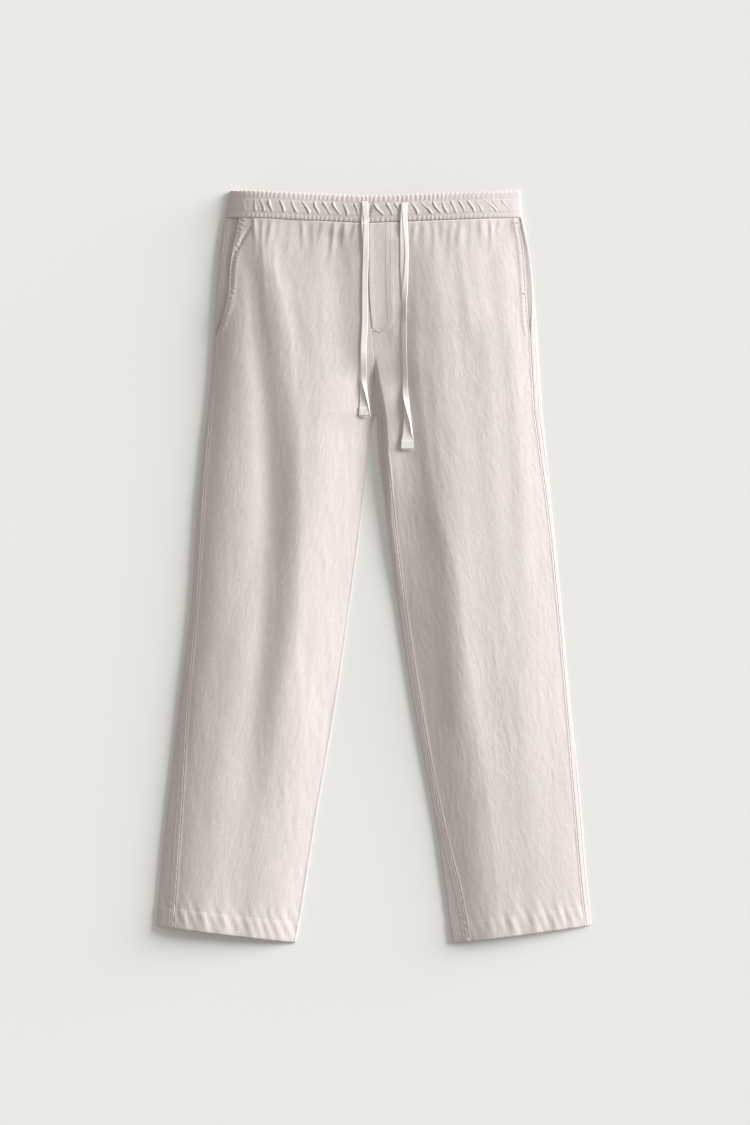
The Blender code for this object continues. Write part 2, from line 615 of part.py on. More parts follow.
def cloth_height(cloth, x, y):
    """Height of the highest cloth within half a tape's wall of (x, y)."""
    near = [(x + dx, y + dy) for dx in (-0.5, 0, 0.5) for dy in (-2, 0, 2)]
    hits = [cloth.ray_cast((a, b, 100), (0, 0, -1))[0] for a, b in near]
    return max(hit.z for hit in hits if hit)


def make_tape(name, route, cloth):
    """One end of the drawstring: a tape folded lengthwise, its edges standing a little above its middle."""
    shares = np.linspace(0, 1, len(route))
    x, y, width, turn = (curve_through(shares, [getattr(p, f) for p in route]) for f in TapePoint._fields)
    sides = np.linspace(-0.5, 0.5, TAPE_COLUMNS + 1)
    rows = []
    for share in np.linspace(0, 1, TAPE_RINGS):
        middle, wide, lean = x(share), width(share), np.radians(turn(share))
        xs = middle + sides * wide * np.cos(lean)
        rise = sides * wide * np.sin(lean) + TAPE_CUP * (2 * sides) ** 2
        base = max(cloth_height(cloth, at, y(share)) - r for at, r in zip(xs, rise)) + TAPE_LIFT
        rows.append([(at, y(share), base + r) for at, r in zip(xs, rise)])
    inner = np.array(rows)
    wall(name, inner + grid_normals(inner, (0, 0, 1)) * TAPE_WALL, inner, OFF_WHITE)


def clear_scene():
    for old in list(bpy.data.objects):
        bpy.data.objects.remove(old)


def build():
    clear_scene()
    make_front("front_right", RIGHT)
    left_front = make_front("front_left", LEFT)
    make_back("back_right", RIGHT)
    make_back("back_left", LEFT)
    make_band()
    make_fly(left_front)
    make_pocket_facing("pocket_facing_right", RIGHT)
    make_pocket_facing("pocket_facing_left", LEFT)
    cloth = cloth_so_far()
    make_tape("drawstring_right", RIGHT_TAPE, cloth)
    make_tape("drawstring_left", LEFT_TAPE, cloth)


build()
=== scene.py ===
"""Relaxed fit trousers in oatmeal linen and cotton, laid flat on a pale floor and seen from straight above.

The frame's axes are +X to the wearer's left leg, +Y to the waist and +Z up from the floor. Tables are in
millimetres, and finished meshes in metres. Each panel is a fine grid on the same sections as its node, with
the gathers, creases, puckers and stitching that the cloth shows. Low light comes from a window beside the
wearer's left leg. The edges that face it lie flat, and the others roll up into their own shade.
"""

import math
from collections import namedtuple

import bpy
import numpy as np
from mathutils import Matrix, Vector


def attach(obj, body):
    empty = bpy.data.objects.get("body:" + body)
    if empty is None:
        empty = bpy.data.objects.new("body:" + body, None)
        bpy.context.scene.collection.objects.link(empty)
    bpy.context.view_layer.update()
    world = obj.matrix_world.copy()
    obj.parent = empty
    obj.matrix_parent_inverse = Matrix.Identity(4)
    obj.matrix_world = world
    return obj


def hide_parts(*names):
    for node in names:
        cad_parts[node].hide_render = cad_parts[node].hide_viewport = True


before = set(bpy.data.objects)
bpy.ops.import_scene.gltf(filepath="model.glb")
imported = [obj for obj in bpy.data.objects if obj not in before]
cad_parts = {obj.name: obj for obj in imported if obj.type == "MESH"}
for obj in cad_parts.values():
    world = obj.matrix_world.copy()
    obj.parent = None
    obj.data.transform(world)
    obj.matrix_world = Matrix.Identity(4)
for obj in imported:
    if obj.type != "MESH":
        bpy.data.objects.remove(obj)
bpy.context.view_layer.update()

MM = 0.001
UP, DOWN = (0, 0, 1), (0, 0, -1)


def table(kind, *rows):
    """A short table whose rows have named columns."""
    return [kind(*row) for row in rows]


# ---------------- driving sizes, in millimetres
WAIST_SEAM_Y = 482.6  # height of the waist seam at the side, from the middle of the garment's length
HEM_DROP = 978.0  # from the waist seam down to the hem, at the side
CROTCH_DROP = 269.0  # and down to the fork
NOTCH_START, FORK_START = 185.0, 230.0  # where the fronts begin to dip, and the backs to rise
FORK_LOW, FORK_HIGH = CROTCH_DROP + 150, CROTCH_DROP + 60  # between these drops the fork's form fades out
CLOTH = 0.6  # thickness of the linen
SEAM_GAP = 0.12  # between two panels that are sewn together
FOLD_RADIUS = 2.9  # of the soft folds at the sides, from the back panels to the fronts
TURN_UP, TURN_UP_STEP = 26.0, 0.5  # depth of the hem's turn-up, and how far it raises the cloth
BAND_DEPTH, BAND_WALL = 37.0, 2.2
BAND_PROUD = 0.7  # how far the band stands out from the fronts
BAND_END = 2.0  # how far in from the outline the front of the band ends
TOP_ROW, LOW_ROW = 0.27, 0.79  # the band's two rows of stitching, as shares of its depth
TICK_PITCH = 6.2  # spacing of the fine ruching beside each row
TAPE_EXITS = (-6.5, 35.0)  # x of the buttonholes that the tape comes out of
FLY_WIDTH, FLY_LENGTH, FLY_CORNER = 38.0, 157.0, 30.0  # the last is the radius of its curved foot
FLY_LIFT = 0.5  # how far it stands out from the front
FLY_ROWS = (7.0, 13.0)  # its stitching, in from its curved edge
FLY_TACK = ((150, 2.0), (154, 12.0))  # its bar tack's ends: down from the waist, in from the front edge
POCKET_LENGTH = 163.0  # down from the waist seam
POCKET_UNDERLAP = 9.0  # how far the facing runs on under the front
POCKET_DEPTH = {-1: 1.6, 1: 0.3}  # how far it is sunk, on the wearer's right and left
POCKET_PROUD = {-1: 0.8, 1: 0.45}  # how far the mouth's edge stands out
POCKET_ROWS = (2.2, 9.0)  # the mouth's stitching, in from its edge
POCKET_TACKS = (6.0, 104.0)  # its bar tacks, down from the waist seam
FELL = 8.0  # width of the felled seams at the sides and inside legs
FELL_ROWS = (1.2, FELL - 1.2)  # their stitching, from the seam
STITCH_PITCH, STITCH_LENGTH, STITCH_THICK = 3.2, 2.5, 0.55
TACK_PITCH, TACK_WIDTH, TACK_LIFT = 0.45, 2.6, 0.3

# How the fine cloth swells above its node.
SOFT_RISE = 3.4  # how much further than its node it swells, where no seam holds it down
FOLD_DEPTH = 0.75  # how deep the long folds are, as a share of their rise in the table
CREST_DEPTH = 1.65  # and the crests
BAND_DOME = 9.0  # how far the ruched waist swells at the centre front
DOME_ENDS = (200.0, 202.0)  # from there to where it has died away, on the wearer's right and left
BAND_ROLL = 5.5  # how far the band's end away from the window swells
FLAT_EDGE = 0.7  # height of an outline that faces the window
LIGHT_SWELL = 80.0  # how far in from it the cloth still rises
SHADE_ROLL, SHADE_SWELL = 28.0, 48.0  # how far in the side away from the window rolls up, and still rises
SHADE_RISE = 4.8  # how far that side stands out
INNER_SLOPE = 75.0  # how far in from the wearer's left inside leg the cloth still rises
VALLEY_WIDTH = 8.0  # of the dip between the legs
CROTCH_ROLL = 7.0  # how far the front swells beside it
LOWEST_FRONT = 1.6  # so that no trough reaches the back panel

# Each colour is an sRGB hex. The pairs are the darkest and the lightest that a material shows.
LINEN_HEX = ("CAC0B9", "D6CCC7")
TAPE_HEX = ("E2DCD5", "F0ECE8")
THREAD_HEX = ("D8CEC6", "F0E9E3")
FLOOR_HEX = "EAE9E4"

# ---------------- the sections of each leg, as the nodes have them
# drop: below the waist seam, at the side
# side: centre line to the outline at the side     inner: centre line to the centre front or the inside leg
# outseam: outline to the side seam, over the top  inseam: outline to the inside leg seam, over the top
# sag: how much lower the section lies at its inner end
# loft: height of the front's middle above the floor
Section = namedtuple("Section", "drop side outseam inner inseam sag loft")

RIGHT_LEG = table(
    Section,
    (-37, 199.4, 3.0, 8.3, 0, 8.3, 6.1),
    (0, 206.3, 3.5, 8.3, 0, 9.2, 6.2),
    (46, 213.5, 6.0, 8.3, 0, 7.0, 6.3),
    (115, 218.7, 6.0, 7.0, 0, 5.5, 6.3),
    (163, 221.5, 3.0, 2.5, 0, 4.0, 6.3),
    (208, 224.3, 3.0, 0.0, 0, 2.8, 6.3),
    (269, 229.8, 3.5, -2.8, 0.3, 0.0, 6.3),
    (281, 231.2, 4.0, 3.4, 0.3, 0.3, 6.3),
    (322, 236.0, 5.5, 7.6, 0.3, 1.4, 6.3),
    (391, 242.9, 6.9, 15.9, 0.3, 4.1, 6.3),
    (529, 252.5, 8.2, 34.5, 0.3, 8.3, 6.3),
    (667, 268.4, 11.7, 55.2, 0.3, 13.8, 6.3),
    (805, 284.3, 19.3, 80.0, 0.3, 19.3, 6.3),
    (943, 298.0, 23.4, 102.8, 0.3, 23.5, 6.2),
    (978, 300.8, 24.1, 109.0, 0.3, 24.3, 6.2),
)
LEFT_LEG = table(
    Section,
    (-37, 201.5, 2.0, -8.3, 0, 8.3, 6.1),
    (0, 204.2, 2.0, -8.3, 0, 9.2, 6.2),
    (46, 213.5, 2.0, -8.3, 0, 7.0, 6.3),
    (115, 220.8, 4.0, -7.0, 0, 5.5, 6.3),
    (163, 225.0, 9.7, -2.5, 0, 4.0, 6.3),
    (208, 227.7, 10.3, 0.0, 0, 2.8, 6.3),
    (269, 231.8, 11.0, 2.8, 0, 0.0, 6.3),
    (281, 233.0, 10.5, 3.2, 5, 0.3, 6.3),
    (322, 236.7, 8.3, 5.5, 12, 1.4, 6.3),
    (391, 243.6, 5.6, 14.8, 10.7, 4.1, 6.3),
    (529, 257.4, 4.9, 33.0, 9.8, 8.3, 6.3),
    (667, 269.8, 4.8, 56.6, 8.3, 13.8, 6.3),
    (805, 284.3, 8.3, 83.5, 9.0, 19.3, 6.3),
    (943, 296.0, 7.6, 104.0, 21.6, 23.5, 6.2),
    (978, 300.2, 7.6, 109.0, 22.0, 24.3, 6.2),
)

Mouth = namedtuple("Mouth", "drop right left")
POCKET_MOUTH = table(
    Mouth,
    (0, 20.0, 5.0),
    (25, 19.3, 6.5),
    (60, 16.8, 8.5),
    (115, 15.5, 10.5),
    (142, 9.5, 11.0),
    (POCKET_LENGTH, 3.4, 10.1),
)

# Long soft folds down the fronts: a ridge where rise is over 0 and a trough where it is under.
Fold = namedtuple("Fold", "top middle foot width rise")
FOLDS = table(
    Fold,
    ((-178, 470), (-146, 110), (-178, -330), 15, -1.9),
    ((-154, 470), (-108, 90), (-140, -300), 19, 1.7),
    ((-169, 472), (-190, 436), (-198, 372), 2.6, -2.6),
    ((-104, 465), (-82, 230), (-78, -150), 22, 0.9),
    ((-55, 470), (-50, 370), (-42, 250), 18, -2.2),
    ((32, 462), (28, 380), (26, 290), 9, 1.6),
    ((46, 470), (60, 210), (90, -330), 18, -1.5),
    ((78, 470), (110, 160), (118, -330), 21, 1.7),
    ((112, 480), (122, 400), (136, 300), 8, 0.9),
    ((150, 470), (176, 230), (196, -190), 14, -0.9),
    ((178, 440), (196, 260), (214, -60), 13, 0.8),
)

# The crest that runs down each front. It falls off within a step towards the wearer's right, and slopes
# gently down on its other side.
Crest = namedtuple("Crest", "y x rise step")
RIGHT_CREST = table(
    Crest,
    (-480, -110, 2.9, 160), (-391, -104, 3.2, 160), (-322, -100, 3.7, 150), (-184, -104, 4.4, 130),
    (-115, -106, 4.5, 110), (-46, -104, 4.4, 88), (24, -102, 4.3, 66), (93, -101, 4.3, 58),
    (162, -102, 4.4, 58), (231, -104, 4.2, 60), (300, -112, 3.8, 56), (369, -124, 3.2, 48),
    (452, -150, 1.6, 34), (490, -160, 0.8, 26),
)
LEFT_CREST = table(
    Crest,
    (-480, 172, 2.2, 100), (-391, 164, 2.6, 100), (-184, 136, 3.7, 96), (-46, 118, 4.4, 88),
    (24, 104, 4.8, 66), (93, 84, 5.0, 50), (162, 74, 5.0, 44), (231, 66, 4.8, 38),
    (300, 62, 3.6, 34), (369, 60, 3.0, 32), (452, 58, 1.8, 24), (490, 56, 0.8, 20),
)

# The gathers that the elastic draws into each front, from the side to the centre.
Gather = namedtuple("Gather", "across length rise")
RIGHT_GATHERS = table(
    Gather,
    (28, 30, 1.2), (40, 46, 1.8), (52, 72, 2.2), (65, 60, 1.8),
    (78, 40, 1.4), (91, 88, 2.2), (106, 52, 1.6), (121, 66, 1.8),
    (135, 44, 1.4), (150, 78, 2.0), (165, 50, 1.5), (181, 36, 1.2),
)
LEFT_GATHERS = table(
    Gather,
    (14, 28, 1.0), (30, 36, 1.2), (45, 58, 1.7), (58, 44, 1.5),
    (72, 84, 2.2), (86, 56, 1.8), (100, 92, 2.4), (112, 42, 1.5),
    (124, 70, 2.0), (136, 46, 1.5), (148, 58, 1.8), (161, 40, 1.4),
    (180, 24, 0.6), (198, 24, 0.5),
)
SMALL_GATHERS = 34  # short ones between them, on each front
GATHER_WIDTH, SMALL_WIDTH = 3.0, 1.35

Ripple = namedtuple("Ripple", "x rise")
RIPPLES = table(
    Ripple,
    (-262, 0.7), (-236, 1.0), (-208, 1.1), (-168, 0.8), (-128, 1.0),
    (128, 0.7), (160, 0.6), (192, 1.0), (222, 1.1), (252, 0.9),
    (275, 1.0),
)
RIPPLE_WIDTH = 8.0
RIPPLE_LENGTH = 60.0

# The waistband's slanted creases: x at the band's top, how far each runs to the wearer's left on its way
# down, and how far it stands out.
Crease = namedtuple("Crease", "x slant rise")
CREASES = table(
    Crease,
    (-184, 2.0, 0.8), (-168, 3.1, 1.5), (-158.5, 3.6, 1.6), (-147.7, 4.6, 1.7),
    (-132.6, 6.1, 1.6), (-117.5, 9.5, 1.5), (-101.7, 9.7, 1.8), (-85, 6.5, 1.5),
    (-74.7, 13.1, 1.7), (-59.5, 9.0, 1.7), (-45, 5.5, 1.4), (-31, 8.0, 1.2),
    (-3.5, 14.7, 1.7), (13.1, 11.1, 1.6), (25, 9.0, 1.0), (49.1, 8.3, 1.6),
    (61.5, 15.2, 1.8), (78.1, 11.1, 1.7), (90, 9.0, 1.4), (101.6, 10.4, 1.8),
    (113, 10.0, 1.4), (125.2, 11.1, 1.8), (137, 9.0, 1.1), (149.4, 17.3, 1.5),
    (161, 10.0, 1.0), (173.6, 11.1, 1.2),
)


# ---------------- curves, smooth steps and smooth random relief
def curve_through(knots, values):
    """A smooth curve through the values at the knots, as a function."""
    knots = np.asarray(knots, float)
    values = np.asarray(values, float)
    slopes = np.gradient(values, knots)

    def at(place):
        i = np.clip(np.searchsorted(knots, place) - 1, 0, len(knots) - 2)
        step = knots[i + 1] - knots[i]
        t = np.clip((place - knots[i]) / step, 0.0, 1.0)
        start = (1 + 2 * t) * (1 - t) ** 2 * values[i] + t * (1 - t) ** 2 * step * slopes[i]
        end = t**2 * (3 - 2 * t) * values[i + 1] + t**2 * (t - 1) * step * slopes[i + 1]
        return start + end

    return at


def curve_with_corner(knots, values, corner):
    """Two smooth curves that meet in a corner at one of the knots."""
    split = list(knots).index(corner)
    above = curve_through(knots[: split + 1], values[: split + 1])
    below = curve_through(knots[split:], values[split:])
    return lambda place: above(place) if place <= corner else below(place)


def smooth_step(low, high, value):
    """0 up to low and 1 from high, or the other way round where low is the greater."""
    t = np.clip((value - low) / (high - low), 0.0, 1.0)
    return t * t * (3 - 2 * t)


def rounded(distance, reach):
    """0 at the outline and 1 from reach inwards, along a quarter of an ellipse."""
    t = np.clip(distance / reach, 0.0, 1.0)
    return np.sqrt(1 - (1 - t) ** 2)


def folded(distance, reach):
    """As rounded, but along the squarer curve of a fold that is pressed down by its own weight."""
    t = np.clip(distance / reach, 0.0, 1.0)
    return (1 - (1 - t) ** 4) ** 0.25


def flat_fold(distance, reach):
    """As folded, but for an edge that lies nearly flat."""
    return 0.05 * folded(distance, 1.5) + 0.95 * swelled(distance, reach)


def swelled(distance, reach):
    """0 at the outline and 1 from reach inwards, along a shallow curve."""
    t = np.clip(distance / reach, 0.0, 1.0)
    return 1 - (1 - t) ** 2


def bell(distance, width):
    """1 at no distance, and falling away evenly on both sides."""
    return np.exp(-((distance / width) ** 2))


def crumple(x, y, wide, tall, seed):
    """Smooth random relief between -1 and 1, in cells of wide x tall millimetres."""
    lattice = np.random.default_rng(seed).uniform(-1, 1, (128, 128))
    u, v = np.broadcast_arrays(x / wide, y / tall)
    i, j = np.floor(u).astype(int), np.floor(v).astype(int)
    s, t = smooth_step(0, 1, u - i), smooth_step(0, 1, v - j)
    i, j, i2, j2 = i % 128, j % 128, (i + 1) % 128, (j + 1) % 128
    top = lattice[i, j] * (1 - s) + lattice[i2, j] * s
    foot = lattice[i, j2] * (1 - s) + lattice[i2, j2] * s
    return top * (1 - t) + foot * t


def puckers(distance, run, reach, pitch, seed):
    """Small slanting waves beside a line of stitching, at a distance from it and a place along it."""
    wander = crumple(run, 0.0, pitch * 2.5, 1.0, seed) * pitch * 0.4
    strength = 0.65 + 0.35 * crumple(run, 0.0, pitch * 1.7, 1.0, seed + 1)
    return np.sin(2 * math.pi * (run + wander + 0.4 * distance) / pitch) * strength * bell(distance, reach)


# ---------------- the long folds and the hems' ripples
def fold_line(fold):
    xs, ys = zip(fold.foot, fold.middle, fold.top)
    return curve_through(ys, xs)


FOLD_LINES = [(fold, fold_line(fold)) for fold in FOLDS]


def relief(x, y):
    """How far the folds and ripples raise the front there."""
    rise = 0.0
    for fold, line in FOLD_LINES:
        low, high = fold.foot[1], fold.top[1]
        fade = (high - low) / 4
        strength = smooth_step(low, low + fade, y) * smooth_step(high, high - fade / 3, y)
        rise = rise + fold.rise * strength * bell(x - line(y), fold.width)
    hem_y = WAIST_SEAM_Y - HEM_DROP
    strength = smooth_step(hem_y + RIPPLE_LENGTH, hem_y, y)
    for ripple in RIPPLES:
        rise = rise + ripple.rise * strength * bell(x - ripple.x, RIPPLE_WIDTH)
    return rise


def waist_dome(x):
    """How far the ruched elastic swells the front of the waist."""
    return BAND_DOME * np.maximum(1 - (x / np.where(x < 0, *DOME_ENDS)) ** 2, 0)


class Leg:
    """One half of the garment, as curves of the drop below the waist seam, with a corner at the fork."""

    def __init__(self, sections, hand, gathers, crests, seed):
        self.hand = hand  # -1 on the wearer's right, 1 on the left
        self.gathers = gathers
        self.seed = seed
        ys, *columns = zip(*crests)
        self.crest, self.crest_rise, self.crest_step = (curve_through(ys, values) for values in columns)
        drops, *columns = zip(*sections)
        for name, values in zip(Section._fields[1:], columns):
            setattr(self, name, curve_with_corner(drops, values, CROTCH_DROP))
        mouths = [m.right if hand < 0 else m.left for m in POCKET_MOUTH]
        self.pocket_mouth = curve_through([m.drop for m in POCKET_MOUTH], mouths)

    def width(self, drop):
        return self.side(drop) - self.inner(drop) - SEAM_GAP / 2

    def points(self, drop, across, height):
        """Points of the section at that drop, across millimetres in from the outline."""
        across = np.asarray(across, float)
        y = WAIST_SEAM_Y - drop - self.sag(drop) * across / self.width(drop)
        x = self.hand * (self.side(drop) - across)
        return np.stack(np.broadcast_arrays(x, y, height), axis=-1).astype(float)

    def flatness(self, drop, inner):
        """How flat the cloth lies along an edge, from 0 to 1: only along those that face the window."""
        if (self.hand > 0) == inner:
            return 0.0
        return 1.0 if inner else 0.8 + 0.2 * smooth_step(0, 40, drop)

    def edge_height(self, drop, inner):
        """Height of the outline itself."""
        low = self.flatness(drop, inner)
        if inner and self.hand > 0:
            low = smooth_step(NOTCH_START, CROTCH_DROP, drop) * smooth_step(FORK_LOW, FORK_HIGH, drop)
        return FOLD_RADIUS - (FOLD_RADIUS - FLAT_EDGE) * low

    def window_edge(self, drop, distance, inner):
        """The fold and the swell at a distance in from an edge that faces the window."""
        flat = self.flatness(drop, inner)
        reach = LIGHT_SWELL * (1 + 0.2 * smooth_step(450, 850, drop)) if inner else LIGHT_SWELL
        fold = (1 - flat) * folded(distance, FOLD_RADIUS) + flat * flat_fold(distance, reach)
        return fold, (1 - flat) * folded(distance, 12.0) + flat * swelled(distance, reach)

    def right_edges(self, drop, across, from_inside):
        """On the wearer's right: fold and swell in from the side, the same from the inner edge, and roll."""
        wide = 12 * smooth_step(150, 400, drop)
        side = swelled(across, SHADE_ROLL + wide), swelled(across, SHADE_SWELL + wide)
        roll = SHADE_RISE * (1 - smooth_step(SHADE_SWELL + wide, SHADE_SWELL + 75, across))
        return side, self.window_edge(drop, from_inside, True), roll

    def left_edges(self, drop, across, from_inside):
        """The same on the wearer's left, where the inner edge stands above the valley between the legs."""
        opened = smooth_step(NOTCH_START + 15, CROTCH_DROP + 20, drop)
        valley = 2 + VALLEY_WIDTH * opened * smooth_step(FORK_LOW, FORK_HIGH, drop)
        wall = smooth_step(valley - 2, valley + 3, from_inside)
        slope = 0.5 + 0.5 * np.clip((from_inside - valley) / INNER_SLOPE, 0, 1) ** 0.9
        lower = smooth_step(370, 560, drop)
        fold = (1 - lower) * (0.15 * rounded(from_inside, 2.0) + 0.85 * wall)
        fold = fold + lower * swelled(from_inside, 56)
        swell = (1 - lower) * wall * slope + lower * swelled(from_inside, 84)
        at_fork = smooth_step(205, 262, drop) * smooth_step(420, 330, drop)
        roll = CROTCH_ROLL * at_fork * (1 - smooth_step(4, 56, from_inside))
        roll = roll + lower * (1 - smooth_step(30, 110, from_inside))
        return self.window_edge(drop, across, False), (fold, swell), roll

    def height(self, drop, across):
        """Height of the front's outer face there, folds and all. It rises gently from the edges that face
        the window, and rolls up steeply from the others."""
        from_inside = np.maximum(self.width(drop) - across, 0)
        edges = self.right_edges if self.hand < 0 else self.left_edges
        (side_fold, side_swell), (inner_fold, inner_swell), roll = edges(drop, across, from_inside)
        notch = smooth_step(NOTCH_START, FORK_START, drop)
        fold = side_fold * (1 - notch * (1 - inner_fold))
        swell = side_swell * (1 - notch * (1 - inner_swell))
        edge = self.edge_height(drop, False)
        edge = edge + (self.edge_height(drop, True) - edge) * smooth_step(0, self.width(drop), across)
        level = edge + (2 * FOLD_RADIUS - edge) * fold + (self.loft(drop) - 2 * FOLD_RADIUS) * swell
        if drop <= 0:
            return level
        x, y, _ = np.moveaxis(self.points(drop, across, 0.0), -1, 0)
        held = (0.12 + 0.88 * smooth_step(0, 150, drop)) * (1 - 0.15 * smooth_step(650, HEM_DROP, drop))
        if self.hand < 0:
            roll = roll * max(held, 0.9)  # the band hardly holds down the shaded side
        else:
            roll = roll * held
        folds = FOLD_DEPTH * relief(x, y) * smooth_step(0, 20, drop)
        dome = waist_dome(x) * (1 - smooth_step(-10, 250, drop))
        return level + (folds + dome + roll + held * self.soft_form(x, y)) * swell

    def soft_form(self, x, y):
        """The broad swell of the cloth, with the crest that runs down it."""
        off = x - self.crest(y)
        end = self.side(0) + 40 if self.hand > 0 else 20.0
        steep = smooth_step(-self.crest_step(y), 0, off)
        gentle = 1 - np.clip(off / np.maximum(end - self.crest(y), 1.0), 0, 1)
        return SOFT_RISE + CREST_DEPTH * self.crest_rise(y) * steep * gentle

    def top(self, drop, across):
        across = np.asarray(across, float)
        return self.points(drop, across, self.height(drop, across))

    def front_start(self, drop):
        """How far in from the outline the front begins: the pocket mouth, or the side seam below it."""
        if drop < POCKET_LENGTH:
            return max(self.pocket_mouth(drop), self.outseam(drop) + SEAM_GAP)
        return self.outseam(drop)


RIGHT = Leg(RIGHT_LEG, -1, RIGHT_GATHERS, RIGHT_CREST, seed=11)
LEFT = Leg(LEFT_LEG, 1, LEFT_GATHERS, LEFT_CREST, seed=47)


# ---------------- the outline of a section, cut at its seams
def lengths_along(points):
    return np.concatenate([[0], np.cumsum(np.linalg.norm(np.diff(points, axis=0), axis=1))])


def values_at(places, lengths, values):
    """Points or normals at places along a line, from those at the lengths along it."""
    return np.stack([np.interp(places, lengths, values[:, k]) for k in range(3)], axis=-1)


def points_at(points, distances):
    return values_at(distances, lengths_along(points), points)


def over_the_top(leg, drop):
    """Points over the front, from the outline at the side to its inner edge, and how far in each is."""
    width = leg.width(drop)
    fold = FOLD_RADIUS * (1 - np.cos(np.linspace(0, math.pi / 2, FOLD_STEPS)))
    flat = np.linspace(FOLD_RADIUS, width - FOLD_RADIUS, TOP_STEPS)[1:-1]
    acrosses = np.concatenate([fold, flat, width - fold[::-1]])
    return leg.top(drop, acrosses), acrosses


def under_edge(leg, drop, inner):
    """The lower quarter of a side fold, from its widest line down to the floor."""
    lift = leg.edge_height(drop, inner)
    if inner and drop <= CROTCH_DROP:
        lift = (lift - 2 * SEAM_GAP) * smooth_step(FORK_START, CROTCH_DROP, drop)
    turn = np.linspace(0, math.pi / 2, UNDER_STEPS)
    in_from_edge = FOLD_RADIUS * (1 - np.cos(turn))
    acrosses = leg.width(drop) - in_from_edge if inner else in_from_edge
    return leg.points(drop, acrosses, lift * (1 - np.sin(turn)))


def seam_distances(leg, drop):
    """How far along the top the side seam, the front's first edge and the inside leg seam lie."""
    points, acrosses = over_the_top(leg, drop)
    lengths = lengths_along(points)
    inseam = leg.width(drop) - (leg.inseam(drop) if drop > CROTCH_DROP else 0)
    seams = np.interp([leg.outseam(drop), leg.front_start(drop), inseam], acrosses, lengths)
    return points, seams, lengths[-1]


def grid_normals(grid, outwards):
    """A unit normal at each point of a grid of rows, turned to agree with outwards at the grid's middle."""
    normals = np.cross(np.gradient(grid, axis=0), np.gradient(grid, axis=1))
    normals /= np.maximum(np.linalg.norm(normals, axis=2, keepdims=True), 1e-9)
    middle = normals[normals.shape[0] // 2, normals.shape[1] // 2]
    return normals if middle @ np.asarray(outwards, float) > 0 else -normals


# Rows of the fine grids, closer together where the gathers, the fork and the turn-up are.
DROPS = np.concatenate([
    np.linspace(SEAM_GAP, 70, 36)[:-1],
    np.linspace(70, CROTCH_DROP, 90)[:-1],
    [CROTCH_DROP],
    np.linspace(CROTCH_DROP + 1, 930, 150)[:-1],
    np.linspace(930, HEM_DROP, 22),
])
FOLD_STEPS, TOP_STEPS, EDGE_STEPS, UNDER_STEPS = 16, 130, 24, 12  # points along each stretch of a section
FRONT_COLUMNS, BACK_EDGE_COLUMNS, BACK_FLOOR_COLUMNS = 140, 34, 10
FLY_COLUMNS, FACING_COLUMNS = 25, 14
EDGE_SHARES = np.linspace(0, 1, BACK_EDGE_COLUMNS + 1)

# points and normals: the finished outer face. run: how far each point is down its panel. first: how far
# along its row from the first column.
Panel = namedtuple("Panel", "points normals run first")


def row_of(drop):
    """The fractional row at that drop."""
    return np.interp(drop, DROPS, np.arange(len(DROPS)))


def finished_panel(base, rise=0.0, outwards=UP, normals=None):
    """A grid raised along its normals, or along those given."""
    if normals is None:
        normals = grid_normals(base, outwards)
    points = base + normals * np.broadcast_to(rise, base.shape[:2])[..., None]
    across = np.linalg.norm(np.diff(base, axis=1), axis=2)
    down = np.linalg.norm(np.diff(base, axis=0), axis=2)
    first = np.concatenate([np.zeros((len(base), 1)), np.cumsum(across, axis=1)], axis=1)
    run = np.concatenate([np.zeros((1, base.shape[1])), np.cumsum(down, axis=0)])
    return Panel(points, grid_normals(points, outwards), run, first)


# ---------------- relief that the panels share
def linen_crinkle(x, y, seed):
    """The washed cloth's own soft swells, long creases and short broken ones, mostly along the leg."""
    lean = x + 0.06 * y
    swell = 0.40 * crumple(lean, y, 38, 95, seed)
    long = 0.18 * (1 - 2 * np.abs(crumple(lean, y, 15, 60, seed + 1)))
    short = 0.12 * (1 - 2 * np.abs(crumple(lean, y, 6.5, 22, seed + 2)))
    fine = 0.035 * crumple(lean, y, 4.2, 9, seed + 3)
    patch = 0.55 + 0.45 * crumple(x, y, 60, 120, seed + 4)
    return swell + patch * (long + short + fine)


def stitch_groove(distance, depth=0.22):
    return -depth * bell(distance, 1.1)


def seam_edge(distance, run, seed):
    """The front's edge along a seam, drawn up into small puckers."""
    return 0.35 * bell(distance - 1.0, 1.3) + 0.16 * puckers(distance, run, 7, 10, seed)


def felled_edge(distance, run, seed):
    """The back's raised, puckered seam allowance beside a seam, held by its second row of stitching."""
    flat = 0.35 * smooth_step(FELL + 1.5, FELL - 0.5, distance) - 0.25 * bell(distance, 1.0)
    waves = 0.3 * puckers(distance - FELL * 0.5, run, FELL * 0.6, 8.5, seed)
    return flat + waves + stitch_groove(distance - FELL_ROWS[1])


def legs_only(drops):
    """0 down to the fork, and 1 where the inside leg seam runs."""
    return smooth_step(CROTCH_DROP + 4, CROTCH_DROP + 40, drops)


def turned_up(above_hem):
    """How far the hem's turn-up raises the cloth at that height above its edge."""
    return TURN_UP_STEP * smooth_step(TURN_UP + 1.5, TURN_UP - 1.5, above_hem)


# ---------------- the fronts
GATHER_STRENGTH = {-1: 0.48, 1: 0.36}  # share of the table's rise, on the wearer's right and left


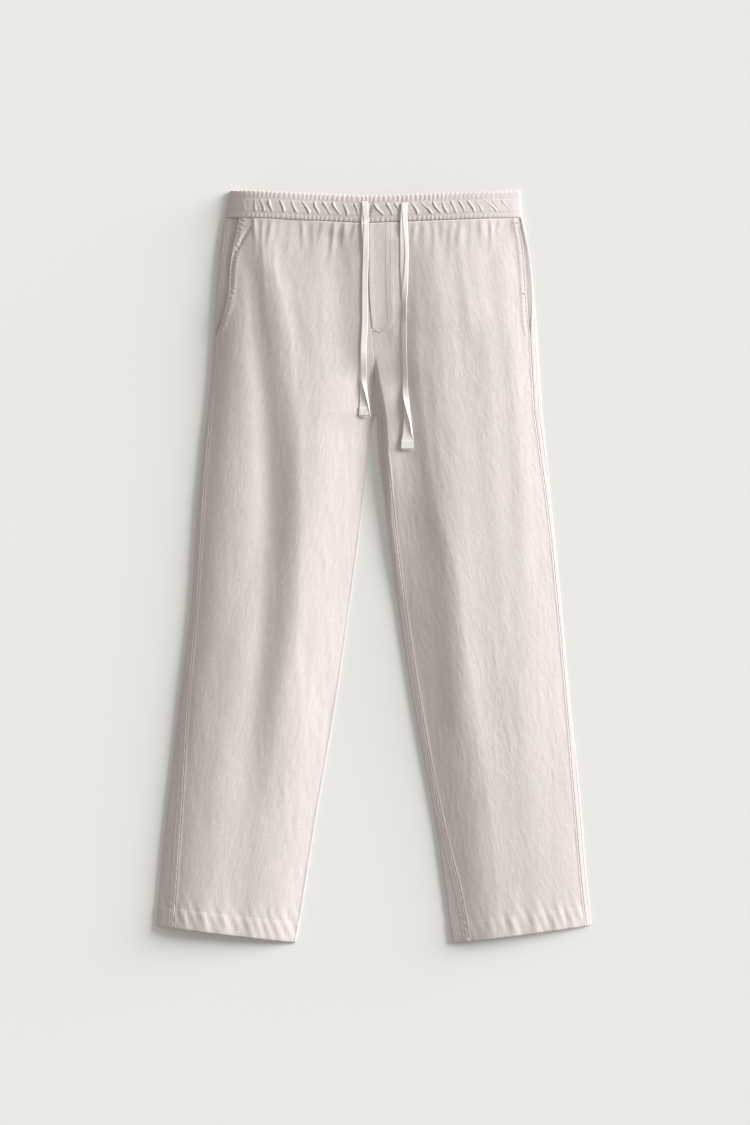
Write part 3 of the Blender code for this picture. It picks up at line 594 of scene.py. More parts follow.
def gather_relief(leg, x, drops):
    """The gathers under the waistband: each is a ridge with a steep side towards the wearer's right. No two
    lean, widen or fade alike, and short ones lie between the long ones."""
    start, width = leg.front_start(0), leg.width(0)
    random = np.random.default_rng(leg.seed)
    small = [Gather(across, length, rise) for across, length, rise in zip(
        random.uniform(start + 4, width - 46, SMALL_GATHERS),
        random.uniform(8, 36, SMALL_GATHERS),
        random.uniform(0.12, 0.45, SMALL_GATHERS))]
    rise = np.zeros(x.shape)
    sized = [(gather, GATHER_WIDTH) for gather in leg.gathers] + [(gather, SMALL_WIDTH) for gather in small]
    for gather, wide in sized:
        down = drops / gather.length
        lean = random.uniform(-9, 4) * down + random.uniform(-1.2, 1.2) * np.sin(4 * down)
        off = x - leg.hand * (leg.side(0) - gather.across) - lean
        wide = wide * random.uniform(0.6, 1.4) * (1 + random.uniform(0.4, 1.6) * down)
        steep = np.where(off < 0, 0.45, 1.25)
        fade = smooth_step(-0.12, 0.25, down) * (1 - smooth_step(random.uniform(0.1, 0.4), 1.0, down))
        strength = GATHER_STRENGTH[leg.hand] * gather.rise * random.uniform(0.2, 1.35) * fade
        rise += strength * (bell(off, wide * steep) - 0.35 * bell(off + 1.5 * wide, wide * 0.6))
    return rise


def front_panel(leg):
    """A front, from the pocket mouth and the side seam to the centre front and the inside leg seam."""
    even = np.linspace(0, 1, FRONT_COLUMNS + 1)
    shares = even - 0.65 * np.sin(2 * math.pi * even) / (2 * math.pi)  # closer together at both edges
    rows, spans = [], []
    for drop in DROPS:
        points, (_, start, end), _ = seam_distances(leg, drop)
        first = start + (SEAM_GAP / 2 if drop >= POCKET_LENGTH else 0)
        last = end - (SEAM_GAP / 2 if drop > CROTCH_DROP else 0)
        rows.append(points_at(points, first + (last - first) * shares))
        spans.append(last - first)
    base, spans = np.array(rows), np.array(spans)[:, None]
    drops = DROPS[:, None]
    x, y = base[..., 0], base[..., 1]
    side, inner = spans * shares, spans * (1 - shares)

    settled = smooth_step(0, 10, side) * smooth_step(0, 8, inner) * smooth_step(4, 60, drops)
    rise = linen_crinkle(x, y, leg.seed) * (0.25 + 0.75 * settled) * smooth_step(0, 5, inner)
    rise = rise * np.where(drops < CROTCH_DROP, smooth_step(0, 24, inner), 1.0)
    rise = rise + gather_relief(leg, x, drops)

    at_pocket = smooth_step(POCKET_LENGTH + 6, POCKET_LENGTH - 8, drops)
    mouth = POCKET_PROUD[leg.hand] * smooth_step(12.5, 8.0, side)
    for row in POCKET_ROWS:
        mouth = mouth + stitch_groove(side - row, 0.4)
    mouth = mouth + 0.75 * puckers(side - sum(POCKET_ROWS) / 2, y, 3.2, 6.4, leg.seed + 20)
    rise = rise + at_pocket * mouth
    rise = rise + (1 - at_pocket) * seam_edge(side, drops, leg.seed + 30)
    rise = rise + legs_only(drops) * seam_edge(inner, drops, leg.seed + 40)

    above_hem = HEM_DROP - drops
    roping = 0.3 * puckers(above_hem - TURN_UP * 0.75, x, TURN_UP * 0.7, 14, leg.seed + 50)
    rise = rise + turned_up(above_hem) + roping + stitch_groove(above_hem - TURN_UP, 0.35)
    rise = rise - 0.3 * bell(above_hem, 2.0)
    return finished_panel(base, np.maximum(rise, LOWEST_FRONT - base[..., 2]))


# ---------------- the backs
def back_panel(leg):
    """A back, from the side seam under the fold, along the floor and up again to the inside leg seam."""
    rows, side_lengths, inner_lengths = [], [], []
    for drop in DROPS:
        top, (outseam, _, inseam), length = seam_distances(leg, drop)
        over = points_at(top, np.linspace(outseam - SEAM_GAP / 2, 0, EDGE_STEPS))
        side = np.concatenate([over[:-1], under_edge(leg, drop, False)])
        inner = under_edge(leg, drop, True)[::-1]
        if drop > CROTCH_DROP:
            over = points_at(top, np.linspace(length, inseam + SEAM_GAP / 2, EDGE_STEPS))
            inner = np.concatenate([inner[:-1], over])
        side_lengths.append(lengths_along(side)[-1])
        inner_lengths.append(lengths_along(inner)[-1])
        side = points_at(side, side_lengths[-1] * EDGE_SHARES)
        inner = points_at(inner, inner_lengths[-1] * EDGE_SHARES)
        floor = np.linspace(side[-1], inner[0], BACK_FLOOR_COLUMNS + 1)[1:-1]
        rows.append(np.concatenate([side, floor, inner]))
    base = np.array(rows)
    drops = DROPS[:, None]
    from_outseam = np.array(side_lengths)[:, None] * EDGE_SHARES
    from_inseam = np.array(inner_lengths)[:, None] * EDGE_SHARES[::-1]
    rise = np.zeros(base.shape[:2])
    edge = BACK_EDGE_COLUMNS + 1
    rise[:, :edge] = felled_edge(from_outseam, drops, leg.seed + 60)
    rise[:, -edge:] = felled_edge(from_inseam, drops, leg.seed + 70) * legs_only(drops)
    rise += 0.5 * linen_crinkle(base[..., 0], base[..., 1], leg.seed + 80) + turned_up(HEM_DROP - drops)
    clear_of_floor = smooth_step(0.8, 2.6, base[..., 2])
    return finished_panel(base, rise * clear_of_floor * smooth_step(0, 6, drops), DOWN)


# ---------------- the waistband
BAND_ROWS, BAND_COLUMNS, BAND_BACK_COLUMNS = 34, 560, 60


def band_relief(x, share):
    """The band's ruching: fine ticks beside each row of stitching, and slanted creases between them."""
    rise = np.zeros(np.broadcast(x, share).shape)
    down = (share - TOP_ROW) / (LOW_ROW - TOP_ROW)
    for crease in CREASES:
        valley = crease.x + crease.slant * smooth_step(-0.1, 1.1, down)
        off = x - valley - 1.1 * np.sin(4.2 * down + crease.x)
        strength = crease.rise * (0.7 + 0.3 * np.sin(5 * down + 2 * crease.x))
        strength = strength * (1 - 0.45 * smooth_step(40, 170, crease.x))
        rise += strength * (0.58 * bell(off - 2.3, 1.7) - 0.55 * bell(off, 0.9))
    slanted = x - 10 * share
    between = crumple(slanted, share, 3.1, 0.30, 5) + 0.6 * crumple(slanted, share, 1.9, 0.16, 6)
    inside = smooth_step(TOP_ROW, TOP_ROW + 0.10, share) * smooth_step(LOW_ROW, LOW_ROW - 0.10, share)
    rise = (rise + 0.25 + 0.07 * between) * inside

    wander = 2.4 * crumple(x, 0.0, 17, 1.0, 7)
    ticks = np.sin(2 * math.pi * (x + wander + 5 * share) / TICK_PITCH)
    ticks = ticks * (0.7 + 0.3 * crumple(x, 0.0, 11, 1.0, 8)) * smooth_step(0.5, 3.5, share * BAND_DEPTH)
    beside_rows = smooth_step(TOP_ROW, TOP_ROW - 0.08, share) + smooth_step(LOW_ROW, LOW_ROW + 0.06, share)
    fading = (1 - 0.85 * smooth_step(160, 182, x)) * (1 - 0.5 * smooth_step(40, 150, x))
    rise += 0.26 * ticks * beside_rows * fading
    for row in (TOP_ROW, LOW_ROW):
        rise += stitch_groove((share - row) * BAND_DEPTH)
    for exit_x in TAPE_EXITS:
        rise -= 1.3 * bell(x - exit_x + 7 * (share - 0.45), 2.6) * bell((share - 0.55) * BAND_DEPTH, 9)
    return rise - 0.6 * bell(share * BAND_DEPTH, 1.6) - 0.9 * bell((1 - share) * BAND_DEPTH, 1.3)


def on_both_halves(drop, xs):
    """Which places lie on the wearer's right half, and how far in from its own side each place is."""
    of_right = xs < -RIGHT.inner(drop)
    return of_right, np.where(of_right, RIGHT.side(drop) + xs, LEFT.side(drop) - xs)


def band_row(share):
    """One row of the band's outer face: its front from the wearer's right to left, then its back."""
    drop = -BAND_DEPTH * (1 - share)
    xs = np.linspace(BAND_END - RIGHT.side(drop), LEFT.side(drop) - BAND_END, BAND_COLUMNS)
    of_right, across = on_both_halves(drop, xs)
    front = np.where(of_right[:, None], RIGHT.top(drop, across), LEFT.top(drop, across))
    fade = smooth_step(0, 14, across)
    dome = waist_dome(xs) * (1 - 0.12 * (2 * share - 1) ** 4)
    roll = np.where(of_right, BAND_ROLL * swelled(across, 45) * (1 - smooth_step(45, 160, across)), 0)
    front[:, 2] += BAND_PROUD * rounded(across, 15) + dome + roll + band_relief(xs, share) * fade
    front[:, 1] += 0.35 * np.sin(2 * math.pi * xs / TICK_PITCH) * bell(share, 0.12) * fade
    left = np.concatenate([LEFT.top(drop, [BAND_END / 2]), under_edge(LEFT, drop, False)[::2]])
    right = np.concatenate([under_edge(RIGHT, drop, False)[::-2], RIGHT.top(drop, [BAND_END / 2])])
    xs = np.linspace(left[-1][0], right[0][0], BAND_BACK_COLUMNS + 2)[1:-1]
    of_right, across = on_both_halves(drop, xs)
    back = np.where(of_right[:, None], RIGHT.points(drop, across, 0.0), LEFT.points(drop, across, 0.0))
    return np.concatenate([front, left, back, right])


def band_panel():
    return finished_panel(np.array([band_row(share) for share in np.linspace(0, 1, BAND_ROWS + 1)]))


# ---------------- the fly and the pocket facings
def fly_reach(drop):
    """How far the fly reaches from the centre front: its foot is a quarter of a circle."""
    above_foot = FLY_LENGTH - drop
    if above_foot >= FLY_CORNER:
        return FLY_WIDTH
    return FLY_WIDTH - FLY_CORNER + math.sqrt(FLY_CORNER**2 - (FLY_CORNER - above_foot) ** 2)


def fly_panel(front):
    """The fly lies on the wearer's left front, from the centre front to its curved line of stitching."""
    shares = np.linspace(0, 1, FLY_COLUMNS)
    rows, normals = [], []
    for row, outwards, drop in zip(front.points[:, ::-1], front.normals[:, ::-1], DROPS):
        if drop > FLY_LENGTH:
            break
        from_centre = fly_reach(drop) * shares
        rows.append(points_at(row, from_centre))
        normals.append(values_at(from_centre, lengths_along(row), outwards))
    lift = 0.2 + FLY_LIFT * (1 - smooth_step(0.7, 0.95, shares)) - 0.15 * bell(shares * FLY_WIDTH - 31, 1.2)
    lift = lift + 0.6 * bell(shares * FLY_WIDTH, 6.0) - 0.5 * smooth_step(0.86, 1.0, shares)
    above_foot = FLY_LENGTH - DROPS[: len(rows), None]
    lift = lift * smooth_step(0, 9, above_foot) - 0.35 * smooth_step(6, 0, above_foot)
    return finished_panel(np.array(rows), lift, normals=np.array(normals))


def facing_panel(leg):
    """The cloth seen through the pocket mouth, from the side seam to just under the front."""
    rows, sinks = [], []
    for drop in DROPS[DROPS < POCKET_LENGTH]:
        points, (outseam, mouth, _), _ = seam_distances(leg, drop)
        seen = np.linspace(outseam + SEAM_GAP / 2, mouth, FACING_COLUMNS)
        places = np.append(seen, mouth + POCKET_UNDERLAP)
        rows.append(points_at(points, places))
        sinks.append(smooth_step(places[0], max(mouth, places[0] + 1), places))
    base = np.array(rows)
    rise = 0.25 * linen_crinkle(base[..., 0], base[..., 1], leg.seed + 90)
    rise = rise - np.array(sinks) * (CLOTH + POCKET_DEPTH[leg.hand])
    rise[:, 0] += 0.3
    return finished_panel(base, rise)


# ---------------- meshes
def deselect_all():
    bpy.ops.object.select_all(action="DESELECT")


def activate(piece):
    deselect_all()
    piece.select_set(True)
    bpy.context.view_layer.objects.active = piece


def mesh_piece(name, points, faces, material, uvs=None):
    """A mesh in metres from points in millimetres, smooth all over."""
    mesh = bpy.data.meshes.new(name)
    mesh.from_pydata((np.asarray(points) * MM).tolist(), [], np.asarray(faces).tolist())
    mesh.materials.append(material)
    if uvs is not None:
        layer = mesh.uv_layers.new(name="weave")
        corners = np.asarray(uvs)[np.asarray(faces).reshape(-1)] * MM
        layer.data.foreach_set("uv", corners.reshape(-1))
    mesh.shade_smooth()
    piece = bpy.data.objects.new(name, mesh)
    bpy.context.scene.collection.objects.link(piece)
    return piece


def cloth_piece(name, panel, thickness, material, ring=False):
    """A panel as a thin wall whose outer face is the panel's grid."""
    rows, columns = panel.points.shape[:2]
    index = np.arange(rows * columns).reshape(rows, columns)
    right = np.roll(index, -1, axis=1) if ring else index[:, 1:]
    left = index if ring else index[:, :-1]
    faces = np.stack([left[:-1], right[:-1], right[1:], left[1:]], axis=-1).reshape(-1, 4)
    points = panel.points.reshape(-1, 3)
    a, b, c = (points[faces[:, k]] for k in range(3))
    if np.einsum("ij,ij->", np.cross(b - a, c - a), panel.normals.reshape(-1, 3)[faces[:, 0]]) < 0:
        faces = faces[:, ::-1]
    uvs = np.stack([panel.first, panel.run], axis=-1).reshape(-1, 2)
    piece = mesh_piece(name, points, faces, material, uvs)
    wall = piece.modifiers.new("wall", "SOLIDIFY")
    wall.thickness = thickness * MM
    wall.offset = -1.0
    activate(piece)
    bpy.ops.object.modifier_apply(modifier=wall.name)
    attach(piece, "root")
    return piece


# ---------------- stitching
def stitch_shape():
    """One stitch, modelled once: the points and triangles of a bead along +X, 1 long and 1 thick."""
    deselect_all()
    bpy.ops.mesh.primitive_uv_sphere_add(segments=6, ring_count=4, radius=0.5, rotation=(0, math.pi / 2, 0))
    ball = bpy.context.object
    bpy.ops.object.transform_apply(location=True, rotation=True, scale=True)
    points = np.array([v.co for v in ball.data.vertices])
    triangles = [t.vertices[:] for t in ball.data.polygons if len(t.vertices) == 3]
    quads = [q.vertices[:] for q in ball.data.polygons if len(q.vertices) == 4]
    triangles += [(a, b, c) for a, b, c, _ in quads] + [(a, c, d) for a, _, c, d in quads]
    bpy.data.objects.remove(ball)
    return points, np.array(triangles)


STITCH_POINTS, STITCH_FACES = stitch_shape()


def stitches_between(starts, ends, ups, thick=STITCH_THICK):
    """Points of one stitch from each start to each end, half sunk in the cloth."""
    along = ends - starts
    length = np.linalg.norm(along, axis=1, keepdims=True)
    along = along / np.maximum(length, 1e-9)
    across = np.cross(ups, along)
    across /= np.maximum(np.linalg.norm(across, axis=1, keepdims=True), 1e-9)
    rise = np.cross(along, across)
    middle = (starts + ends) / 2 + rise * thick * 0.25
    shape = STITCH_POINTS[None]
    return (middle[:, None] + shape[..., :1] * length[:, None] * along[:, None]
            + shape[..., 1:2] * thick * across[:, None] + shape[..., 2:] * thick * rise[:, None])


class Sewing:
    """Rows of stitches gathered into one mesh."""

    def __init__(self):
        self.groups = []

    def row(self, line, ups, pitch=STITCH_PITCH, length=STITCH_LENGTH):
        """Stitches along a line of points, each length long and pitch apart."""
        lengths = lengths_along(line)
        places = np.arange(pitch / 2, lengths[-1] - pitch / 2, pitch)
        starts, ends = points_at(line, places - length / 2), points_at(line, places + length / 2)
        self.groups.append(stitches_between(starts, ends, values_at(places, lengths, ups)))

    def seam(self, panel, distance, low, high, from_last=False):
        """A row down a panel between two drops, at a distance from its first or last edge."""
        rows = np.where((DROPS >= low) & (DROPS <= high))[0]
        self.row(*on_panel(panel, rows, column_at(panel, rows, distance, from_last)))

    def bar(self, start, end, up, width=TACK_WIDTH):
        """A bar tack: stitches side by side from start to end."""
        start, end, up = (np.asarray(v, float) for v in (start, end, up))
        along = (end - start) / np.linalg.norm(end - start)
        side = np.cross(up, along) * width / 2
        count = int(np.linalg.norm(end - start) / TACK_PITCH)
        middles = start + (end - start) * np.linspace(0, 1, count)[:, None] + up * TACK_LIFT
        ups = np.broadcast_to(up, middles.shape)
        self.groups.append(stitches_between(middles - side, middles + side, ups))

    def finish(self, name, material, slot):
        points = np.concatenate([g.reshape(-1, 3) for g in self.groups])
        points[:, 2] = np.maximum(points[:, 2], 0.0)  # those underneath are pressed flat on the floor
        count = len(points) // len(STITCH_POINTS)
        steps = np.arange(count)[:, None, None] * len(STITCH_POINTS)
        piece = mesh_piece(name, points, (STITCH_FACES[None] + steps).reshape(-1, 3), material)
        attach(piece, "root")


def on_panel(panel, rows, columns):
    """Points and normals of a panel at fractional rows and columns."""
    rows, columns = np.broadcast_arrays(np.asarray(rows, float), np.asarray(columns, float))
    last_row, last_column = panel.points.shape[0] - 1, panel.points.shape[1] - 1
    r, c = np.clip(rows, 0, last_row - 1e-6), np.clip(columns, 0, last_column - 1e-6)
    i, j = r.astype(int), c.astype(int)
    s, t = (r - i)[:, None], (c - j)[:, None]

    def read(grid):
        top = grid[i, j] * (1 - t) + grid[i, j + 1] * t
        foot = grid[i + 1, j] * (1 - t) + grid[i + 1, j + 1] * t
        return top * (1 - s) + foot * s

    return read(panel.points), read(panel.normals)


def column_at(panel, rows, distance, from_last=False):
    """The fractional column of each row at a distance from the panel's first or last edge."""
    columns = []
    for lengths in panel.first[rows]:
        target = lengths[-1] - distance if from_last else distance
        columns.append(np.interp(target, lengths, np.arange(len(lengths))))
    return np.array(columns)


def leg_sewing(front, back):
    """The two rows of each felled seam, and the turn-up's row across the front."""
    sewing = Sewing()
    for inset in FELL_ROWS:
        sewing.seam(back, inset, 2, HEM_DROP - 2)
    for inset, start in zip(FELL_ROWS, (12, 24)):
        sewing.seam(back, inset, CROTCH_DROP + start, HEM_DROP - 2, from_last=True)
    sewing.row(*on_panel(front, row_of(HEM_DROP - TURN_UP), np.arange(1, FRONT_COLUMNS, 0.5)))
    return sewing


def pocket_sewing(front):
    """The two rows beside the pocket mouth, and a bar tack at each end of it."""
    sewing = Sewing()
    for inset, foot in zip(POCKET_ROWS, (2, 8)):
        sewing.seam(front, inset, 2, POCKET_LENGTH - foot)
    for drop in POCKET_TACKS:
        row = row_of(drop)
        columns = column_at(front, [int(row)], 1.0) + [0, 4]
        ends, ups = on_panel(front, [row, row], columns)
        sewing.bar(ends[0], ends[1], ups[0])
    return sewing


def band_sewing(band):
    sewing = Sewing()
    columns = np.linspace(6, BAND_COLUMNS - 7, BAND_COLUMNS * 2)
    for share in (TOP_ROW, LOW_ROW):
        sewing.row(*on_panel(band, share * BAND_ROWS, columns), pitch=3.0, length=2.3)
    return sewing


def fly_sewing(fly, front):
    """The fly's two curved rows, and the bar tack at its foot."""
    sewing = Sewing()
    rows = np.arange(len(fly.points))
    for inset in FLY_ROWS:
        sewing.row(*on_panel(fly, rows, column_at(fly, rows, inset, from_last=True)))
    drops, insets = zip(*FLY_TACK)
    rows = np.searchsorted(DROPS, drops)
    columns = [column_at(front, [row], inset, from_last=True)[0] for row, inset in zip(rows, insets)]
    foot, ups = on_panel(front, rows, columns)
    sewing.bar(foot[0], foot[1], ups[0], width=1.6)
    return sewing


# ---------------- materials
def linear(hex_colour):
    """sRGB hex to the linear colour that a shader takes."""
    channels = [int(hex_colour[i:i + 2], 16) / 255 for i in (0, 2, 4)]
    return [c / 12.92 if c <= 0.04045 else ((c + 0.055) / 1.055) ** 2.4 for c in channels] + [1.0]


def new_material(name):
    material = bpy.data.materials.new(name)
    material.use_nodes = True
    return material, material.node_tree, material.node_tree.nodes["Principled BSDF"]


def fill_inputs(tree, node, inputs):
    """Gives a node's inputs, by name or number, their values or links."""
    for name, value in inputs.items():
        if isinstance(value, bpy.types.NodeSocket):
            tree.links.new(value, node.inputs[name])
        else:
            node.inputs[name].default_value = value


def add_node(tree, kind, output, inputs, **settings):
    """Adds a node with its settings, its input values and its links, and returns one of its outputs."""
    node = tree.nodes.new("ShaderNode" + kind)
    for name, value in settings.items():
        setattr(node, name, value)
    fill_inputs(tree, node, inputs)
    return node.outputs[output]


def woven_linen():
    """Washed plain weave of linen and cotton: matt, a little fuzzy, with slubs that run both ways, a faint
    mottle and a fine crinkle. Its real threads are 0.6 mm apart, too fine to show here, so they are drawn
    1.5 mm apart."""
    material, tree, shader = new_material("linen_cotton_plain_weave")
    thread, slub_wide, slub_long = 1.5 * MM, 1.3 * MM, 22 * MM
    mottle_wide, crinkle_wide, crinkle_long, crinkle_lean = 45 * MM, 5 * MM, 17 * MM, -0.22
    waves_in_unit = 3.2  # how often the wave texture repeats in a unit of its own
    weave = add_node(tree, "UVMap", "UV", {}, uv_map="weave")
    place = add_node(tree, "TexCoord", "Object", {})

    def streaks(wide, tall, lean=0.0):
        """Noise drawn out into streaks of that size."""
        turned = add_node(tree, "Mapping", "Vector", {"Vector": weave, "Rotation": (0, 0, lean)})
        scaled = add_node(tree, "Mapping", "Vector", {"Vector": turned, "Scale": (1 / wide, 1 / tall, 1.0)})
        noise = {"Vector": scaled, "Scale": 1.0, "Detail": 2.0, "Roughness": 0.55}
        return add_node(tree, "TexNoise", "Fac", noise)

    slubs = {0: streaks(slub_wide, slub_long), 1: streaks(slub_long, slub_wide)}
    slubs = add_node(tree, "Math", 0, slubs, operation="ADD")
    mottle = {"Vector": place, "Scale": 1 / mottle_wide, "Detail": 4.0, "Roughness": 0.6}
    mottle = add_node(tree, "TexNoise", "Fac", mottle)
    crinkle = {0: streaks(crinkle_wide, crinkle_long, crinkle_lean), 1: mottle}
    crinkle = add_node(tree, "Math", 0, crinkle, operation="MULTIPLY")
    waves = {"Vector": weave, "Scale": 1 / thread / waves_in_unit,
             "Distortion": 1.2, "Detail": 2.0, "Detail Scale": 3.0}
    warp, weft = (add_node(tree, "TexWave", "Fac", waves, bands_direction=way) for way in ("X", "Y"))
    cross = add_node(tree, "Math", 0, {0: warp, 1: weft}, operation="MULTIPLY")

    dark, light = map(linear, LINEN_HEX)
    tone = add_node(tree, "MapRange", "Result", {"Value": slubs, "From Min": 0.6, "From Max": 1.4})
    shade = add_node(tree, "Mix", 2, {0: tone, 6: dark, 7: light}, data_type="RGBA")
    patch = {"Value": mottle, "From Min": 0.3, "From Max": 0.7, "To Min": 0.93}
    patch = add_node(tree, "MapRange", "Result", patch)
    mottled = {0: 0.5, 6: shade, 7: patch}
    mottled = add_node(tree, "Mix", 2, mottled, data_type="RGBA", blend_type="MULTIPLY")
    bumps = add_node(tree, "Bump", "Normal", {"Height": crinkle, "Strength": 0.5, "Distance": 1.2 * MM})
    for height, strength, distance in ((slubs, 0.5, 0.15 * MM), (cross, 0.3, 0.06 * MM)):
        finer = {"Height": height, "Strength": strength, "Distance": distance, "Normal": bumps}
        bumps = add_node(tree, "Bump", "Normal", finer)
    fill_inputs(tree, shader, {
        "Base Color": mottled, "Normal": bumps, "Roughness": 0.92, "Specular IOR Level": 0.25,
        "Sheen Weight": 0.12, "Sheen Roughness": 0.6})
    return material


def herringbone_tape():
    """Off-white cotton tape: matt, in a fine herringbone, drawn 3 mm to a zigzag so that it shows."""
    material, tree, shader = new_material("cotton_herringbone_tape")
    zigzag_wide, twill_pitch = 3 * MM, 1.6 * MM
    weave = add_node(tree, "UVMap", "UV", {}, uv_map="weave")
    across = add_node(tree, "SeparateXYZ", "X", {0: weave})
    along = across.node.outputs["Y"]
    zigzag = add_node(tree, "Math", 0, {0: across, 1: zigzag_wide}, operation="PINGPONG")
    lean = add_node(tree, "Math", 0, {0: zigzag, 1: along}, operation="ADD")
    phase = add_node(tree, "Math", 0, {0: lean, 1: 2 * math.pi / twill_pitch}, operation="MULTIPLY")
    twill = add_node(tree, "Math", 0, {0: phase}, operation="SINE")
    dark, light = map(linear, TAPE_HEX)
    tone = add_node(tree, "MapRange", "Result", {"Value": twill, "From Min": -1.0})
    shade = add_node(tree, "Mix", 2, {0: tone, 6: dark, 7: light}, data_type="RGBA")
    bumps = add_node(tree, "Bump", "Normal", {"Height": twill, "Strength": 0.4, "Distance": 0.3 * MM})
    fill_inputs(tree, shader, {
        "Base Color": shade, "Normal": bumps, "Roughness": 0.85, "Sheen Weight": 0.1})
    return material


def sewing_thread():
    """Spun polyester thread, dyed to the cloth: a touch lighter and glossier than the linen, with a fine
    twist."""
    material, tree, shader = new_material("spun_sewing_thread")
    twist_wide = 0.6 * MM
    place = add_node(tree, "TexCoord", "Object", {})
    twist = add_node(tree, "TexNoise", "Fac", {"Vector": place, "Scale": 1 / twist_wide, "Detail": 1.0})
    dark, light = map(linear, THREAD_HEX)
    shade = add_node(tree, "Mix", 2, {0: twist, 6: dark, 7: light}, data_type="RGBA")
    fill_inputs(tree, shader, {"Base Color": shade, "Roughness": 0.6})
    return material


def painted_board():
    """The studio's pale painted floor: matt and even."""
    material, tree, shader = new_material("matt_painted_board")
    fill_inputs(tree, shader, {
        "Base Color": linear(FLOOR_HEX), "Roughness": 0.95, "Specular IOR Level": 0.1})
    return material


# ---------------- camera, light and floor, in metres and degrees
CAMERA_HEIGHT = 3.2
VIEW_HEIGHT = 1.556  # how much of the floor the frame takes in, from top to bottom
VIEW_CENTRE = (0.0007, 0.0062)
FLOOR_SIZE = 8.0
FLOOR_DEPTH = 0.0004  # just under the cloth
SUN_ELEVATION = 11.8  # above the floor
SUN_TURN = 22.0  # from the garment's left towards its waist
SUN_SPREAD = 30.0
SUN_STRENGTH, SUN_COLOUR = 8.3, (0.985, 0.995, 1.035)
AIR_STRENGTH, AIR_COLOUR = 0.468, (1.0, 0.985, 0.95, 1.0)


def make_camera():
    data = bpy.data.cameras.new("straight_down")
    data.sensor_fit = "VERTICAL"
    data.sensor_height = 24.0
    data.lens = data.sensor_height * CAMERA_HEIGHT / VIEW_HEIGHT
    camera = bpy.data.objects.new("straight_down", data)
    camera.location = (*VIEW_CENTRE, CAMERA_HEIGHT)
    bpy.context.scene.collection.objects.link(camera)
    bpy.context.scene.camera = camera


def make_studio():
    """A pale floor, a wide low window and the soft light of the room."""
    deselect_all()
    bpy.ops.mesh.primitive_plane_add(size=FLOOR_SIZE, location=(0, 0, -FLOOR_DEPTH))
    floor = bpy.context.object
    floor.name = "studio_floor"
    floor.data.materials.append(painted_board())
    data = bpy.data.lights.new("low_window", "SUN")
    data.angle = math.radians(SUN_SPREAD)
    data.energy = SUN_STRENGTH
    data.color = SUN_COLOUR
    lamp = bpy.data.objects.new("low_window", data)
    up, turn = math.radians(SUN_ELEVATION), math.radians(SUN_TURN)
    towards = Vector((math.cos(up) * math.cos(turn), math.cos(up) * math.sin(turn), math.sin(up)))
    lamp.rotation_euler = towards.to_track_quat("Z", "Y").to_euler()
    bpy.context.scene.collection.objects.link(lamp)
    bpy.context.scene.view_settings.view_transform = "Standard"
    world = bpy.data.worlds.new("studio_air")
    bpy.context.scene.world = world
    world.use_nodes = True
    air = world.node_tree.nodes["Background"]
    air.inputs["Color"].default_value = AIR_COLOUR
    air.inputs["Strength"].default_value = AIR_STRENGTH


# ---------------- the drawstring, in millimetres
TAPE_WIDE, TAPE_THICK = 18.0, 0.5  # the tape laid open
TAPE_ARCS = np.linspace(0, TAPE_WIDE, 37)  # the columns of its grid
TAPE_ROWS, PATH_POINTS = 170, 30
FRAYED_THREADS = 60
END_BAND = 11.0  # how much of each end is turned under and stitched
END_ROWS = (2.4, 4.6, 8.6)  # its stitching, from the end
FOLD_ARC = 1.6  # how much of the tape goes round its fold
TAPE_FLATNESS = 0.55  # how high the folded tape stands, as a share of a round fold

# Each end of the tape from its buttonhole: where its middle lies, how wide it shows, how far it is turned
# up on edge in degrees, and how far its folded half has opened, from 0 to 1.
TapePoint = namedtuple("TapePoint", "x y shown turn open")
RIGHT_TAPE = table(
    TapePoint,
    (-13.5, 503, 8.0, 0, 0.0),
    (-13.4, 490, 9.0, 0, 0.0),
    (-13.4, 472, 10.0, 0, 0.0),
    (-12.4, 448, 8.6, 0, 0.0),
    (-12.0, 424, 7.8, 4, 0.0),
    (-13.6, 395, 8.6, 4, 0.0),
    (-13.5, 366, 8.4, 4, 0.02),
    (-13.4, 337, 8.0, 0, 0.0),
    (-15.6, 303, 8.6, -6, 0.0),
    (-15.4, 280, 8.4, 8, 0.0),
    (-15.8, 262, 9.0, 12, 0.04),
    (-15.6, 246, 10.4, 4, 0.30),
    (-14.8, 232, 12.0, 0, 0.42),
    (-14.2, 222, 14.0, 0, 0.34),
    (-13.8, 209, 16.0, 0, 0.06),
)
LEFT_TAPE = table(
    TapePoint,
    (41.0, 501, 8.0, 0, 0.0),
    (40.2, 488, 9.2, -8, 0.0),
    (40.2, 466, 10.4, -6, 0.0),
    (40.8, 437, 11.6, 0, 0.03),
    (40.8, 408, 11.0, 4, 0.04),
    (41.4, 380, 8.4, 14, 0.0),
    (42.8, 353, 5.4, 30, 0.0),
    (41.6, 330, 6.8, 22, 0.0),
    (42.2, 300, 6.2, 24, 0.0),
    (43.4, 262, 6.2, 22, 0.0),
    (43.0, 243, 7.6, 12, 0.02),
    (44.2, 220, 8.8, 2, 0.26),
    (45.2, 200, 11.0, 0, 0.44),
    (45.4, 184, 14.0, 0, 0.40),
    (45.2, 174, 17.0, 0, 0.12),
    (45.2, 163, 18.0, 0, 0.0),
)


def highest_below(pieces):
    """A function that gives the height of the highest cloth at (x, y), in millimetres."""
    graph = bpy.context.evaluated_depsgraph_get()
    ready = [piece.evaluated_get(graph) for piece in pieces]

    def height(x, y):
        best = 0.0
        for piece in ready:
            hit, place, _, _ = piece.ray_cast((x * MM, y * MM, 0.1), DOWN)
            if hit:
                best = max(best, place.z / MM)
        return best

    return height


